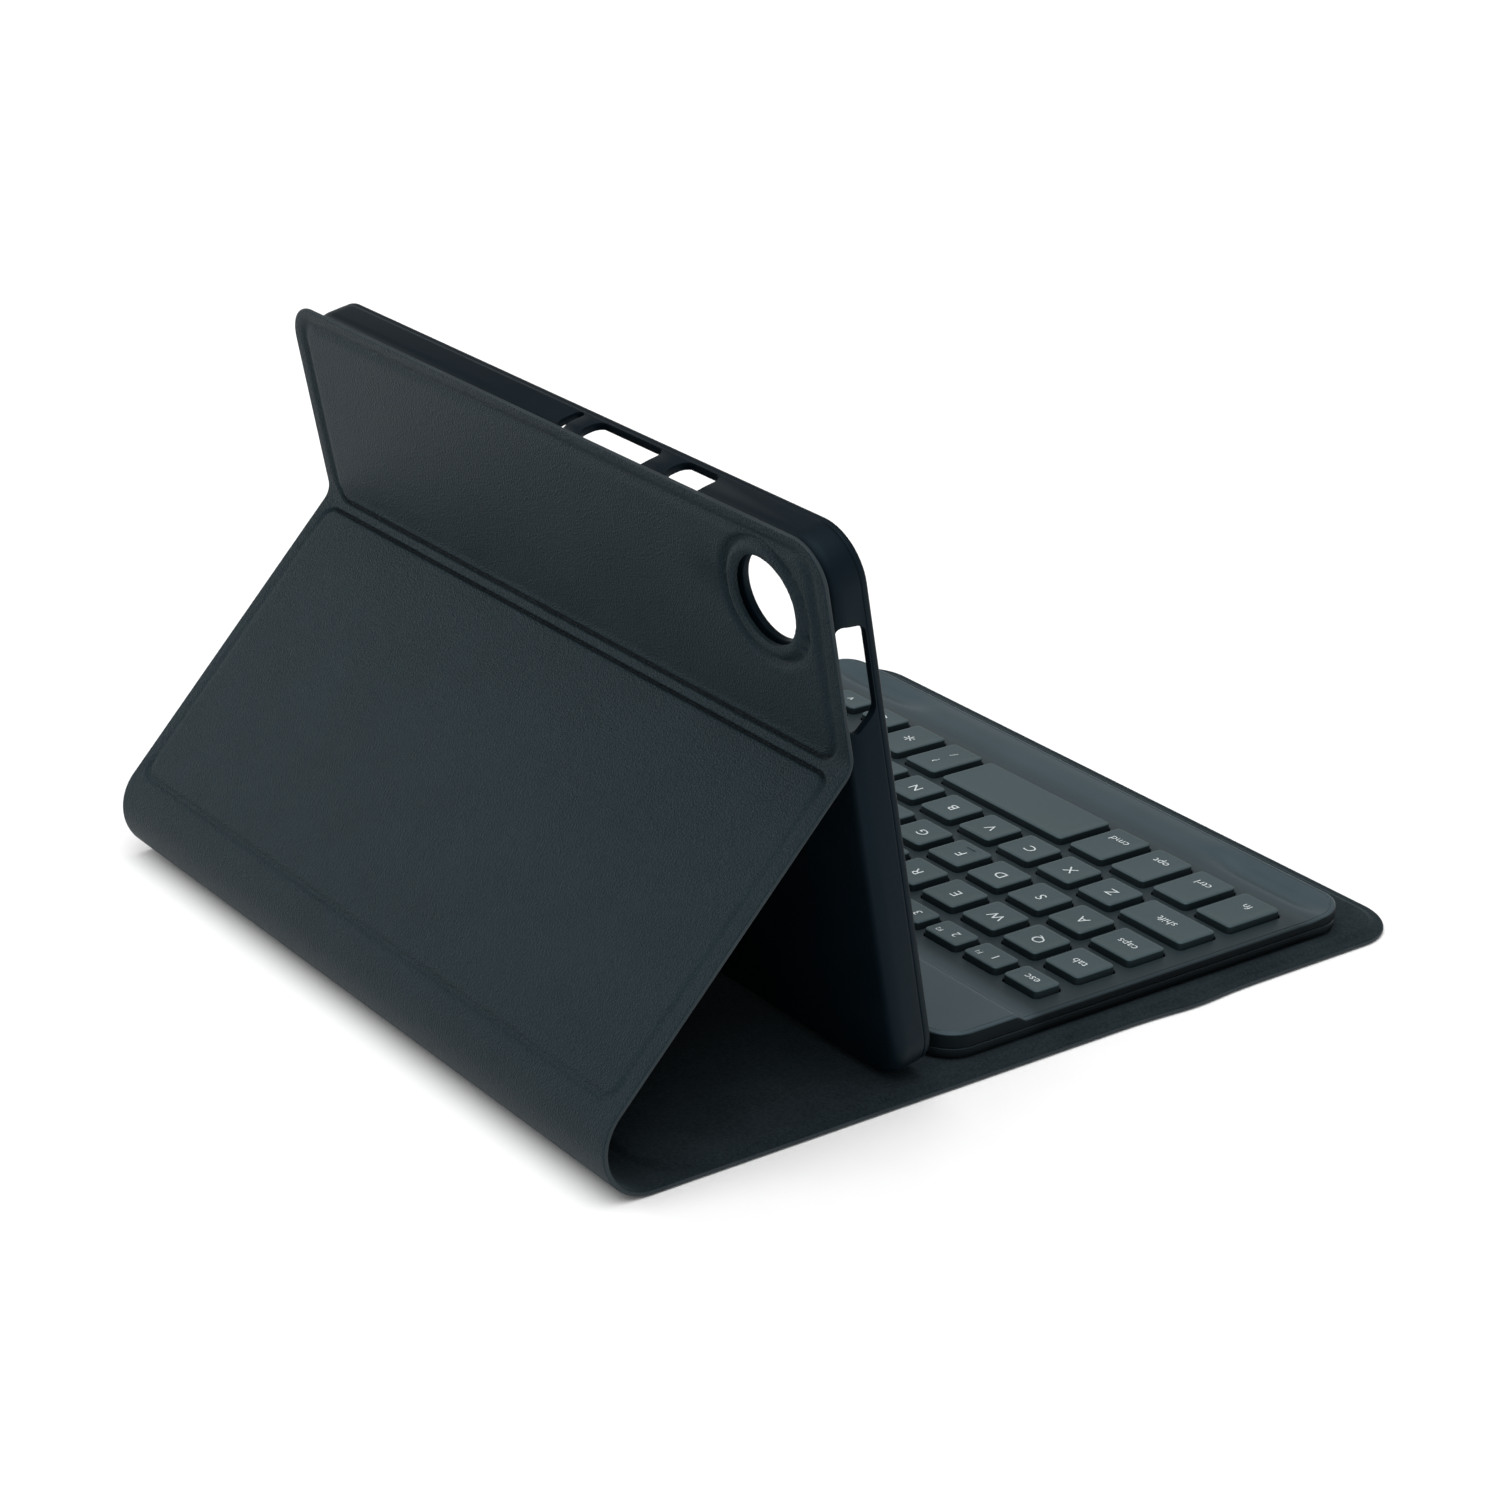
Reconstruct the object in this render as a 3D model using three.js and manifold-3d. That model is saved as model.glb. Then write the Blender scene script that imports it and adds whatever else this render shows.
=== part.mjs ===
// Tablet keyboard case: a folding leather cover on stiff boards, a soft tray for the tablet glued to
// its upper panel, and a flat keyboard held on its base by magnets. It stands in its propped position.
// Millimetres, +Z up. The origin is under the middle of the case, on the surface that it stands on.
// The person who types sits at -Y and looks along +Y, with +X to their right.
import * as THREE from 'three';
import { mergeVertices } from 'three/addons/utils/BufferGeometryUtils.js';
import Module from 'manifold-3d';

const wasm = await Module();
wasm.setup();

// ---- cover ----
const COVER_W = 215;
const BASE_FRONT = -123.75;
const SPINE_Y = 110.25; // where the flat base runs into the spine's round bend
const SPINE_R = 13.5; // outside radius of the bend
const LOWER_TILT = 132; // direction of the lower panel, degrees from +Y up towards -Y
const UPPER_TILT = 77.6;
const LOWER_LEN = 88.1; // from the bend to the crease
const UPPER_LEN = 52.7; // from the crease to the top edge
const SKIN_FACE = 0.8; // leather over the boards
const SKIN_T = 1.7; // leather turned in round the edge of the boards
const BOARD_H = [0.9, 1.6];
const LINING_H = [1.8, 2.4];
const BOARD_INSET = 4;
const BOARD_R = 5;
const CORNER_R = 10;
const FRONT_CORNER_R = 15;
const FOLD_GAP = 0.3; // between the pieces on the two sides of a fold
const HOLE = { x: -84.4, s: 33.1, r: 10.6 }; // opening for the rear camera
const MAGNET = { x: 62, y: -2, w: 40, d: 10 };

// ---- tablet tray ----
const TRAY_HALF_W = 105.3;
const TRAY_S = [-88.5, 50.9]; // along the upper panel, from the crease
const TRAY_H = [2.7, 12.95]; // out from the cover's outside face
const TRAY_R = 12;
const TRAY_BACK_T = 1.5;
const TRAY_WALL_T = 1.8;
const TRAY_LIP_T = 1.1;
const TRAY_LIP_W = 1.4;
const TRAY_ROUND = 3.5;
const TOP_SLOTS = [[-8.4, -5.6], [-39.6, -14], [-60.6, -46.9]];
const SIDE_SLOT = [9, 30];
const SLOT_H = [4.4, 11.6];

// ---- keyboard ----
const KB_HALF_W = 101;
const KB_Y = [-108.7, 24.25];
const KB_R = 9;
const KB_BOTTOM = 2.5;
const KB_SPLIT = 5.2;
const KB_DECK = 7.6;
const KB_DECK_T = 1.1;
const KB_BAR = 9.2; // top of the raised bar behind the keys
const KB_BAR_Y = [-1.5, 2.5]; // the slope from the deck up to the bar
const KB_WALL = 1.5;
const KB_FLOOR_T = 1.0;
const KEY_BOTTOM = 5.75;
const KEY_TOP = 9.4;
const KEY_R = 1.0; // corners, cut off at 45 degrees
const KEY_CLEAR = 0.4;
const WEB_T = 0.4;
const KEY_EDGE = 94.2; // outer side of the first and last key in each row

const rad = THREE.MathUtils.degToRad;

const COLORS = {
  leather: { color: 0x20272b, roughness: 0.62, metalness: 0 },
  lining: { color: 0x24292c, roughness: 0.95, metalness: 0 },
  board: { color: 0x7d7668, roughness: 0.9, metalness: 0 },
  tray: { color: 0x171c20, roughness: 0.55, metalness: 0 },
  shellPlastic: { color: 0x24292d, roughness: 0.45, metalness: 0 },
  keyPlastic: { color: 0x1b2023, roughness: 0.5, metalness: 0 },
  steel: { color: 0xa9adb0, roughness: 0.35, metalness: 1 },
  film: { color: 0xc9ccc8, roughness: 0.6, metalness: 0 },
  cell: { color: 0x8e9499, roughness: 0.5, metalness: 0 },
  circuit: { color: 0x1f5a3a, roughness: 0.5, metalness: 0 },
  lens: { color: 0xd7e6ea, roughness: 0.2, metalness: 0 },
};

// ---- solids ----
function toSolid(geometry) {
  const bare = geometry.clone();
  bare.deleteAttribute('normal');
  bare.deleteAttribute('uv');
  const merged = mergeVertices(bare, 1e-4);
  return new wasm.Manifold(new wasm.Mesh({
    numProp: 3,
    vertProperties: new Float32Array(merged.attributes.position.array),
    triVerts: new Uint32Array(merged.index.array),
  }));
}

function toGeometry(solid) {
  const mesh = solid.getMesh();
  const geometry = new THREE.BufferGeometry();
  geometry.setAttribute('position', new THREE.BufferAttribute(new Float32Array(mesh.vertProperties), 3));
  geometry.setIndex(new THREE.BufferAttribute(new Uint32Array(mesh.triVerts), 1));
  geometry.computeVertexNormals();
  return geometry;
}

const cut = (solid, ...tools) => tools.reduce((left, tool) => left.subtract(tool), solid);
const join = (solid, ...others) => others.reduce((sum, other) => sum.add(other), solid);

// A rectangle from (x0, y0) to (x1, y1) with round corners: one radius, or [near y0, near y1].
function roundedRect(x0, y0, x1, y1, radius) {
  const [low, high] = Array.isArray(radius) ? radius : [radius, radius];
  const shape = new THREE.Shape();
  shape.moveTo(x0 + low, y0);
  shape.lineTo(x1 - low, y0);
  if (low > 0) shape.absarc(x1 - low, y0 + low, low, -Math.PI / 2, 0);
  shape.lineTo(x1, y1 - high);
  if (high > 0) shape.absarc(x1 - high, y1 - high, high, 0, Math.PI / 2);
  shape.lineTo(x0 + high, y1);
  if (high > 0) shape.absarc(x0 + high, y1 - high, high, Math.PI / 2, Math.PI);
  shape.lineTo(x0, y0 + low);
  if (low > 0) shape.absarc(x0 + low, y0 + low, low, Math.PI, Math.PI * 1.5);
  return shape;
}

function circle(x, y, r) {
  const shape = new THREE.Shape();
  shape.absarc(x, y, r, 0, Math.PI * 2);
  return shape;
}

// The shape drawn in X and Y, as a solid from z0 to z1.
function prism(shape, z0, z1, segments = 4) {
  const geometry = new THREE.ExtrudeGeometry(shape, {
    depth: z1 - z0, bevelEnabled: false, curveSegments: segments,
  });
  geometry.translate(0, 0, z0);
  return toSolid(geometry);
}

function box(x0, x1, y0, y1, z0, z1) {
  const geometry = new THREE.BoxGeometry(x1 - x0, y1 - y0, z1 - z0);
  geometry.translate((x0 + x1) / 2, (y0 + y1) / 2, (z0 + z1) / 2);
  return toSolid(geometry);
}

// A closed outline of [y, z] points, as a solid that runs from -half to half along X.
function acrossX(points, half) {
  const shape = new THREE.Shape(points.map(([y, z]) => new THREE.Vector2(y, z)));
  const geometry = new THREE.ExtrudeGeometry(shape, { depth: 2 * half, bevelEnabled: false });
  geometry.translate(0, 0, -half);
  const turn = new THREE.Matrix4().makeBasis(
    new THREE.Vector3(0, 1, 0), new THREE.Vector3(0, 0, 1), new THREE.Vector3(1, 0, 0));
  geometry.applyMatrix4(turn);
  return toSolid(geometry);
}

// ---- the cover's section: places on it are [y, z], and h is the depth in from its outside face ----
const along = (tilt) => [Math.cos(rad(tilt)), Math.sin(rad(tilt))];
const inward = (tilt) => [-Math.sin(rad(tilt)), Math.cos(rad(tilt))];

function bendPoint(angle, h) {
  const r = SPINE_R - h;
  return [SPINE_Y + r * Math.sin(rad(angle)), SPINE_R - r * Math.cos(rad(angle))];
}

function panelPoint(start, tilt, s, h) {
  const [a, n] = [along(tilt), inward(tilt)];
  return [start[0] + a[0] * s + n[0] * h, start[1] + a[1] * s + n[1] * h];
}

const BEND_END = bendPoint(LOWER_TILT, 0);
const CREASE = panelPoint(BEND_END, LOWER_TILT, LOWER_LEN, 0);
const HALF_CREASE = (LOWER_TILT - UPPER_TILT) / 2;
// The two folds of the spine are a quarter of the bend in from each of its ends.
const FOLD_A = LOWER_TILT / 4;
const FOLD_B = LOWER_TILT - FOLD_A;
const HALF_GAP_ANGLE = THREE.MathUtils.radToDeg(FOLD_GAP / 2 / SPINE_R);

function bend(from, to, steps, h) {
  return Array.from({ length: steps + 1 }, (_, i) => bendPoint(from + ((to - from) * i) / steps, h));
}

// How far past the crease line the panels' faces at depth h meet.
const creaseReach = (h) => h * Math.tan(rad(HALF_CREASE)) - FOLD_GAP / 2 / Math.cos(rad(HALF_CREASE));

function baseLayer([h0, h1], half, front) {
  const face = (h) => [[front, h], ...bend(0, FOLD_A - HALF_GAP_ANGLE, 4, h)];
  return acrossX([...face(h0), ...face(h1).reverse()], half);
}

function spineLayer([h0, h1], half) {
  const face = (h) => bend(FOLD_A + HALF_GAP_ANGLE, FOLD_B - HALF_GAP_ANGLE, 8, h);
  return acrossX([...face(h0), ...face(h1).reverse()], half);
}

function lowerLayer([h0, h1], half) {
  const face = (h) => [
    ...bend(FOLD_B + HALF_GAP_ANGLE, LOWER_TILT, 4, h),
    panelPoint(BEND_END, LOWER_TILT, LOWER_LEN + creaseReach(h), h)];
  return acrossX([...face(h0), ...face(h1).reverse()], half);
}

function upperLayer([h0, h1], half, length) {
  const face = (h) => [
    panelPoint(CREASE, UPPER_TILT, -creaseReach(h), h),
    panelPoint(CREASE, UPPER_TILT, length, h)];
  return acrossX([...face(h0), ...face(h1).reverse()], half);
}

// A flat solid drawn on a panel in X and s, from depth h0 to h1, turned to the panel's own tilt.
function onPanel(solid, start, tilt) {
  return solid.rotate([tilt, 0, 0]).translate([0, start[0], start[1]]);
}
const onLower = (solid) => onPanel(solid, BEND_END, LOWER_TILT);
const onUpper = (solid) => onPanel(solid, CREASE, UPPER_TILT);

const HALF_W = COVER_W / 2;
const boardRect = (y0, y1, grow) => roundedRect(
  -HALF_W + BOARD_INSET - grow, y0 - grow, HALF_W - BOARD_INSET + grow, y1 + grow, BOARD_R);
const pocket = (y0, y1) => prism(boardRect(y0, y1, 0.1), SKIN_FACE, SKIN_T + 1);
const board = (y0, y1) => prism(boardRect(y0, y1, 0), BOARD_H[0], BOARD_H[1]);

const BASE_BOARD = [BASE_FRONT + BOARD_INSET, SPINE_Y - 3];
const LOWER_BOARD = [6, LOWER_LEN - 8];
const UPPER_BOARD = [3, UPPER_LEN - BOARD_INSET];

const baseOutline = prism(roundedRect(-HALF_W, BASE_FRONT, HALF_W, 200, [FRONT_CORNER_R, 0]), -5, 60, 6);
const upperOutline = onUpper(prism(
  roundedRect(-HALF_W, -60, HALF_W, UPPER_LEN, [0, CORNER_R]), -5, 20, 6));
const cameraCut = (r, h0, h1) => onUpper(prism(circle(HOLE.x, HOLE.s, r), h0, h1, 16));

// ---- base ----
function magnetBox(side, grow, z0, z1) {
  const x = side * MAGNET.x;
  const [w, d] = [MAGNET.w / 2 + grow, MAGNET.d / 2 + grow];
  return box(x - w, x + w, MAGNET.y - d, MAGNET.y + d, z0, z1);
}

const baseSkin = () => cut(
  baseLayer([0, SKIN_T], HALF_W, BASE_FRONT).intersect(baseOutline), pocket(...BASE_BOARD));
const baseBoard = () => cut(
  board(...BASE_BOARD), magnetBox(-1, 0.15, 0, 3), magnetBox(1, 0.15, 0, 3));
const baseLining = () => baseLayer(LINING_H, HALF_W, BASE_FRONT).intersect(baseOutline);

// ---- lower and upper panels ----
const lowerSkin = () => cut(lowerLayer([0, SKIN_T], HALF_W), onLower(pocket(...LOWER_BOARD)));
const upperSkin = () => cut(
  upperLayer([0, SKIN_T], HALF_W, UPPER_LEN).intersect(upperOutline),
  onUpper(pocket(...UPPER_BOARD)), cameraCut(HOLE.r, -1, 3));
const upperBoard = () => cut(onUpper(board(...UPPER_BOARD)), cameraCut(HOLE.r + 1, -1, 3));
const upperGlue = () => cut(
  upperLayer(LINING_H, HALF_W, UPPER_LEN).intersect(upperOutline), cameraCut(HOLE.r, -1, 4));

// ---- tablet tray ----
function trayRect(inset, radius) {
  return roundedRect(
    -TRAY_HALF_W + inset, TRAY_S[0] + inset, TRAY_HALF_W - inset, TRAY_S[1] - inset, radius);
}

function tabletTray() {
  const blank = new THREE.ExtrudeGeometry(trayRect(0, TRAY_R), {
    depth: 14, curveSegments: 5, bevelEnabled: true, bevelSegments: 4,
    bevelThickness: TRAY_ROUND, bevelSize: TRAY_ROUND, bevelOffset: -TRAY_ROUND,
  });
  blank.translate(0, 0, TRAY_H[0] + TRAY_ROUND);
  const body = toSolid(blank).intersect(box(-200, 200, -200, 200, 0, TRAY_H[1]));
  const bay = prism(
    trayRect(TRAY_WALL_T, TRAY_R - TRAY_WALL_T), TRAY_H[0] + TRAY_BACK_T, TRAY_H[1] - TRAY_LIP_T, 5);
  const mouthInset = TRAY_WALL_T + TRAY_LIP_W;
  const mouth = prism(trayRect(mouthInset, TRAY_R - mouthInset), TRAY_H[1] - 3, TRAY_H[1] + 2, 5);
  const topSlots = TOP_SLOTS.map(([x0, x1]) => box(
    x0, x1, TRAY_S[1] - TRAY_WALL_T - 1, TRAY_S[1] + 1, ...SLOT_H));
  const sideSlot = box(
    -TRAY_HALF_W - 1, -TRAY_HALF_W + TRAY_WALL_T + 1, SIDE_SLOT[0], SIDE_SLOT[1], ...SLOT_H);
  const camera = prism(circle(HOLE.x, HOLE.s, HOLE.r - 0.2), 0, 6, 16);
  return onUpper(cut(body, bay, mouth, ...topSlots, sideSlot, camera));
}

// ---- keyboard ----
function keyboardRect(inset) {
  return roundedRect(
    -KB_HALF_W + inset, KB_Y[0] + inset, KB_HALF_W - inset, KB_Y[1] - inset, KB_R - inset);
}

const PORT = { y: 14, d: 9, z0: 3.9, z1: 6.9 };
const SWITCH = { y: -3, d: 9, z0: 3.9, z1: 6.4 };
const OPENING_CLEAR = 0.15;

// An opening through the right side wall, a little larger than the piece that shows in it.
function sideOpening({ y, d, z0, z1 }) {
  const [front, back] = [y - d / 2 - OPENING_CLEAR, y + d / 2 + OPENING_CLEAR];
  return box(
    KB_HALF_W - KB_WALL - 1, KB_HALF_W + 1, front, back, z0 - OPENING_CLEAR, z1 + OPENING_CLEAR);
}

function bottomCase() {
  return cut(
    prism(keyboardRect(0), KB_BOTTOM, KB_SPLIT, 5),
    prism(keyboardRect(KB_WALL), KB_BOTTOM + KB_FLOOR_T, KB_SPLIT + 1, 5),
    sideOpening(PORT), sideOpening(SWITCH));
}

function topCase(keys) {
  const bar = acrossX([
    [KB_BAR_Y[0], KB_DECK - 0.5], [KB_Y[1], KB_DECK - 0.5], [KB_Y[1], KB_BAR],
    [KB_BAR_Y[1], KB_BAR], [KB_BAR_Y[0], KB_DECK]], KB_HALF_W);
  const outline = prism(keyboardRect(0), 0, 20, 5);
  const body = join(prism(keyboardRect(0), KB_SPLIT + 0.1, KB_DECK, 5), bar.intersect(outline));
  const cavity = prism(keyboardRect(KB_WALL), KB_SPLIT - 1, KB_DECK - KB_DECK_T, 5);
  const barHalf = KB_HALF_W - KB_WALL;
  const barCavity = box(-barHalf, barHalf, 4, KB_Y[1] - 4.5, KB_SPLIT, KB_BAR - 1.2);
  const holes = keys.map((key) => prism(keyRect(key, KEY_CLEAR), KB_DECK - 3, KB_DECK + 3, 1));
  const lamp = prism(circle(LAMP.x, LAMP.y, LAMP.r + 0.15), KB_SPLIT, 12, 5);
  return cut(body, cavity, barCavity, sideOpening(PORT), sideOpening(SWITCH), lamp, ...holes);
}

const LAMP = { x: 82, y: 12, r: 1.2 };
const statusLight = () => prism(circle(LAMP.x, LAMP.y, LAMP.r), 7.2, KB_BAR, 5);
const keyPlate = () => box(-97, 97, -95, -5, 3.7, 4.0);
const domeSheet = () => box(-96, 96, -94, -6, 4.1, 4.35);
const battery = () => box(-55, 15, 4.5, 18, 3.8, 7.6);
const circuitBoard = () => box(25, 95, 4.5, 18, 4.2, 5.2);

// A slider that stands a little out of its opening, and moves towards the back.
function powerSwitch() {
  const { y, z0, z1 } = SWITCH;
  const x = KB_HALF_W;
  return join(
    box(x - 2, x + 0.5, y - 4, y - 1, z0 + 0.4, z1 - 0.4),
    box(x - 4, x - 1.8, y - 4, y + 1, z0 + 0.2, z1 - 0.2));
}

function chargingPort() {
  const { y, d, z0, z1 } = PORT;
  const [outer, inner] = [KB_HALF_W - 0.2, KB_HALF_W - 5];
  return cut(
    box(inner, outer, y - d / 2, y + d / 2, z0, z1),
    box(inner + 1, outer + 1, y - d / 2 + 0.4, y + d / 2 - 0.4, z0 + 0.4, z1 - 0.4));
}

// ---- keys: [name, x0, x1, y0, y1], front and back of each row, left to right ----
const ROW = {
  1: [-17.85, -9.65],
  2: [-35.25, -22.75],
  3: [-51.75, -39.4],
  4: [-68.65, -56.3],
  5: [-90.8, -72.9],
};
const LETTER_W = 12.2;
const LETTER_PITCH = 15.4;
const KEY_GAP = LETTER_PITCH - LETTER_W;
const HALF_ROW = 8.2;

function row(number, first, firstEnd, letters, lettersStart, last) {
  const [y0, y1] = ROW[number];
  const keys = [[first, -KEY_EDGE, firstEnd, y0, y1]];
  letters.forEach((name, i) => {
    const x = lettersStart + i * LETTER_PITCH;
    keys.push([name, x, x + LETTER_W, y0, y1]);
  });
  const end = lettersStart + letters.length * LETTER_PITCH;
  keys.push([last, end, KEY_EDGE, y0, y1]);
  return keys;
}

function numberRow() {
  const names = ['esc', '1', '2', '3', '4', '5', '6', '7', '8', '9', '0', 'minus', 'back'];
  const pitch = (2 * KEY_EDGE + 2.6) / names.length;
  return names.map((name, i) => {
    const x = -KEY_EDGE + i * pitch;
    return [name, x, x + pitch - 2.6, ...ROW[1]];
  });
}

function bottomRow() {
  const [y0, y1] = ROW[5];
  const names = ['fn', 'ctrl', 'opt', 'cmd'];
  const keys = names.map((name, i) => {
    const x = -KEY_EDGE + i * (LETTER_W + KEY_GAP + 0.17);
    return [name, x, x + LETTER_W + 0.17, y0, y1];
  });
  const spaceStart = -31.9;
  const spaceEnd = 16;
  keys.push(['space', spaceStart, spaceEnd, y0, y1]);
  const afterSpace = (i) => spaceEnd + KEY_GAP + i * (LETTER_PITCH + 0.25);
  keys.push(['slash', afterSpace(0), afterSpace(0) + LETTER_W, y0, y1]);
  keys.push(['light', afterSpace(1), afterSpace(1) + LETTER_W, y0, y1]);
  keys.push(['left', afterSpace(2), afterSpace(2) + LETTER_W, y0, y0 + HALF_ROW]);
  keys.push(['down', afterSpace(3), afterSpace(3) + LETTER_W, y0, y0 + HALF_ROW]);
  keys.push(['up', afterSpace(3), afterSpace(3) + LETTER_W, y1 - HALF_ROW, y1]);
  keys.push(['right', KEY_EDGE - LETTER_W, KEY_EDGE, y0, y0 + HALF_ROW]);
  return keys;
}

const KEYS = {
  1: numberRow(),
  2: row(2, 'tab', -82, [...'qwertyuiop'], -78.8, 'backslash'),
  3: row(3, 'caps', -79.7, [...'asdfghjkl', 'semicolon'], -76.5, 'enter'),
  4: row(4, 'shift', -71.9, [...'zxcvbnm', 'comma', 'dot'], -68.7, 'shift_right'),
  5: bottomRow(),
};
// The keys after these many of each row share one node, joined under the deck by a web.
const SINGLE_KEYS = { 1: 4, 2: 5, 3: 6, 4: 7, 5: 8 };

function keyRect([, x0, x1, y0, y1], grow) {
  return roundedRect(x0 - grow, y0 - grow, x1 + grow, y1 + grow, KEY_R);
}

const keyCap = (key) => prism(keyRect(key, 0), KEY_BOTTOM, KEY_TOP, 1);

function joinedKeys(keys) {
  const x0 = Math.min(...keys.map((key) => key[1])) + 2;
  const x1 = Math.max(...keys.map((key) => key[2])) - 2;
  const y0 = Math.min(...keys.map((key) => key[3])) + 2;
  const y1 = Math.max(...keys.map((key) => key[4])) - 2;
  return join(box(x0, x1, y0, y1, KEY_BOTTOM, KEY_BOTTOM + WEB_T), ...keys.map(keyCap));
}

// ---- the assembly ----
const group = new THREE.Group();
const materials = Object.fromEntries(Object.entries(COLORS).map(
  ([name, values]) => [name, new THREE.MeshStandardMaterial({ name, ...values })]));

function add(name, solid, material) {
  const mesh = new THREE.Mesh(toGeometry(solid), materials[material]);
  mesh.name = name;
  group.add(mesh);
}

add('base_skin', baseSkin(), 'leather');
add('base_board', baseBoard(), 'board');
add('base_lining', baseLining(), 'lining');
add('base_magnet_left', magnetBox(-1, 0, ...BOARD_H), 'steel');
add('base_magnet_right', magnetBox(1, 0, ...BOARD_H), 'steel');
add('spine_skin', spineLayer([0, SKIN_T], HALF_W), 'leather');
add('spine_lining', spineLayer(LINING_H, HALF_W), 'lining');
add('lower_skin', lowerSkin(), 'leather');
add('lower_board', onLower(board(...LOWER_BOARD)), 'board');
add('lower_lining', lowerLayer(LINING_H, HALF_W), 'lining');
add('upper_skin', upperSkin(), 'leather');
add('upper_board', upperBoard(), 'board');
add('upper_glue_sheet', upperGlue(), 'lining');
add('tablet_tray', tabletTray(), 'tray');

add('keyboard_bottom_case', bottomCase(), 'shellPlastic');
add('keyboard_top_case', topCase(Object.values(KEYS).flat()), 'shellPlastic');
add('key_plate', keyPlate(), 'steel');
add('dome_sheet', domeSheet(), 'film');
add('battery', battery(), 'cell');
add('circuit_board', circuitBoard(), 'circuit');
add('power_switch', powerSwitch(), 'keyPlastic');
add('charging_port', chargingPort(), 'steel');
add('status_light', statusLight(), 'lens');
add('keyboard_magnet_left', box(-82, -60, 19, 22, 3.7, 4.9), 'steel');
add('keyboard_magnet_right', box(60, 82, 19, 22, 3.7, 4.9), 'steel');

for (const [number, keys] of Object.entries(KEYS)) {
  const single = SINGLE_KEYS[number];
  keys.slice(0, single).forEach((key) => add(`key_${key[0]}`, keyCap(key), 'keyPlastic'));
  add(`keys_row${number}_right`, joinedKeys(keys.slice(single)), 'keyPlastic');
}

export default group;
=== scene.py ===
"""Tablet keyboard case, propped as a stand: leather cover, soft tablet tray and a thin keyboard.

Lengths in the tables below are millimetres; MM turns them into the frame's metres.
"""
import math

import bmesh
import bpy
import numpy as np
from mathutils import Matrix, Vector


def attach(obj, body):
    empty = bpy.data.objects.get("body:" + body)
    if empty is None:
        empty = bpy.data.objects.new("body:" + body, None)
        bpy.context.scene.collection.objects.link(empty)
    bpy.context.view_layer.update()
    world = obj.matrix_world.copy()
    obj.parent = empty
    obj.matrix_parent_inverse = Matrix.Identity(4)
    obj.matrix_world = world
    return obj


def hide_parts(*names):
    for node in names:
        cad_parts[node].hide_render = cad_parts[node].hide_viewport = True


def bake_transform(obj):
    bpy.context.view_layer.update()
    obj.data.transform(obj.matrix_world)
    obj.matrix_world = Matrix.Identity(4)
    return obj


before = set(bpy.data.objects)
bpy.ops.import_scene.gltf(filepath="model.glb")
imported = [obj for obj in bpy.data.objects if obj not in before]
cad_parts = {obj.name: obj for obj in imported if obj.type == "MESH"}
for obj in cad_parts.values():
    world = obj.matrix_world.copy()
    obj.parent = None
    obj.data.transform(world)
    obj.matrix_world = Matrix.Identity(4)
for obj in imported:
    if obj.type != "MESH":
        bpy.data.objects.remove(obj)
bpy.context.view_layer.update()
MM = 0.001

# ---- camera: the photograph's viewing angle ----
CAMERA_AT = (-0.6333, 0.4981, 0.3832)
CAMERA_AZIMUTH = 232.087
CAMERA_ELEVATION = 23.101
CAMERA_ROLL = 2.080
CAMERA_LENS = 84.06

# ---- cover section ----
COVER_W = 215.0
BASE_FRONT = -123.75
SPINE_Y = 110.25
SPINE_R = 13.5
LOWER_TILT = 132.0
UPPER_TILT = 77.6
LOWER_LEN = 88.1
UPPER_LEN = 52.7
FRONT_CORNER_R = 15.0
TOP_CORNER_R = 10.0
BULGE = 1.0  # the base's left edge swells a little here
BULGE_S, BULGE_REACH = 74.0, 11.0
CREASE_R = 5.0
CREASE_REACH = 4.5  # the crease piece goes this far to each side
SPINE_LEAD = 2.0  # the spine pieces go this far on to the flat panels
THIN = 1.45  # leather and lining with no board between them
THICK = 2.3  # with a board
EDGE_MID = 0.74  # where the two faces meet round the edge
EDGE_R = 0.6
HOLE_X, HOLE_S, HOLE_R = -84.4, 33.1, 10.6
RING_R = 15.0  # the upper board ends at this ring round the hole
RING_REACH = 2.2
BEAD_R, BEAD_REACH, BEAD_RISE = 12.3, 1.3, 0.35
GROOVE_AFTER_SPINE = 2.2  # grooves at both ends of the lower board
GROOVE_BEFORE_CREASE = 3.9
GROOVE_AT = 0.6  # a groove's bottom lies this far outside its board
GROOVE_DEPTH, GROOVE_W = 0.48, 0.95
PANEL_INSET = 5.0

# ---- tray ----
TRAY_HALF_W = 105.3
TRAY_S = (-88.5, 50.9)
TRAY_H = (2.7, 12.95)
TRAY_CORNER_R = 12.0
TRAY_ROUND = 3.5
TRAY_BACK_T = 1.5
TRAY_WALL_T = 1.8
TRAY_LIP_T = 1.1
TRAY_LIP_W = 1.4
TOP_SLOTS = ((-8.4, -5.6), (-39.6, -14.0), (-60.6, -46.9))
SIDE_SLOT = (9.0, 30.0)
SIDE_SLOPE = 0.62
TOP_SLOPE = 0.28
SLOT_H = (3.4, 10.6)

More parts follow.
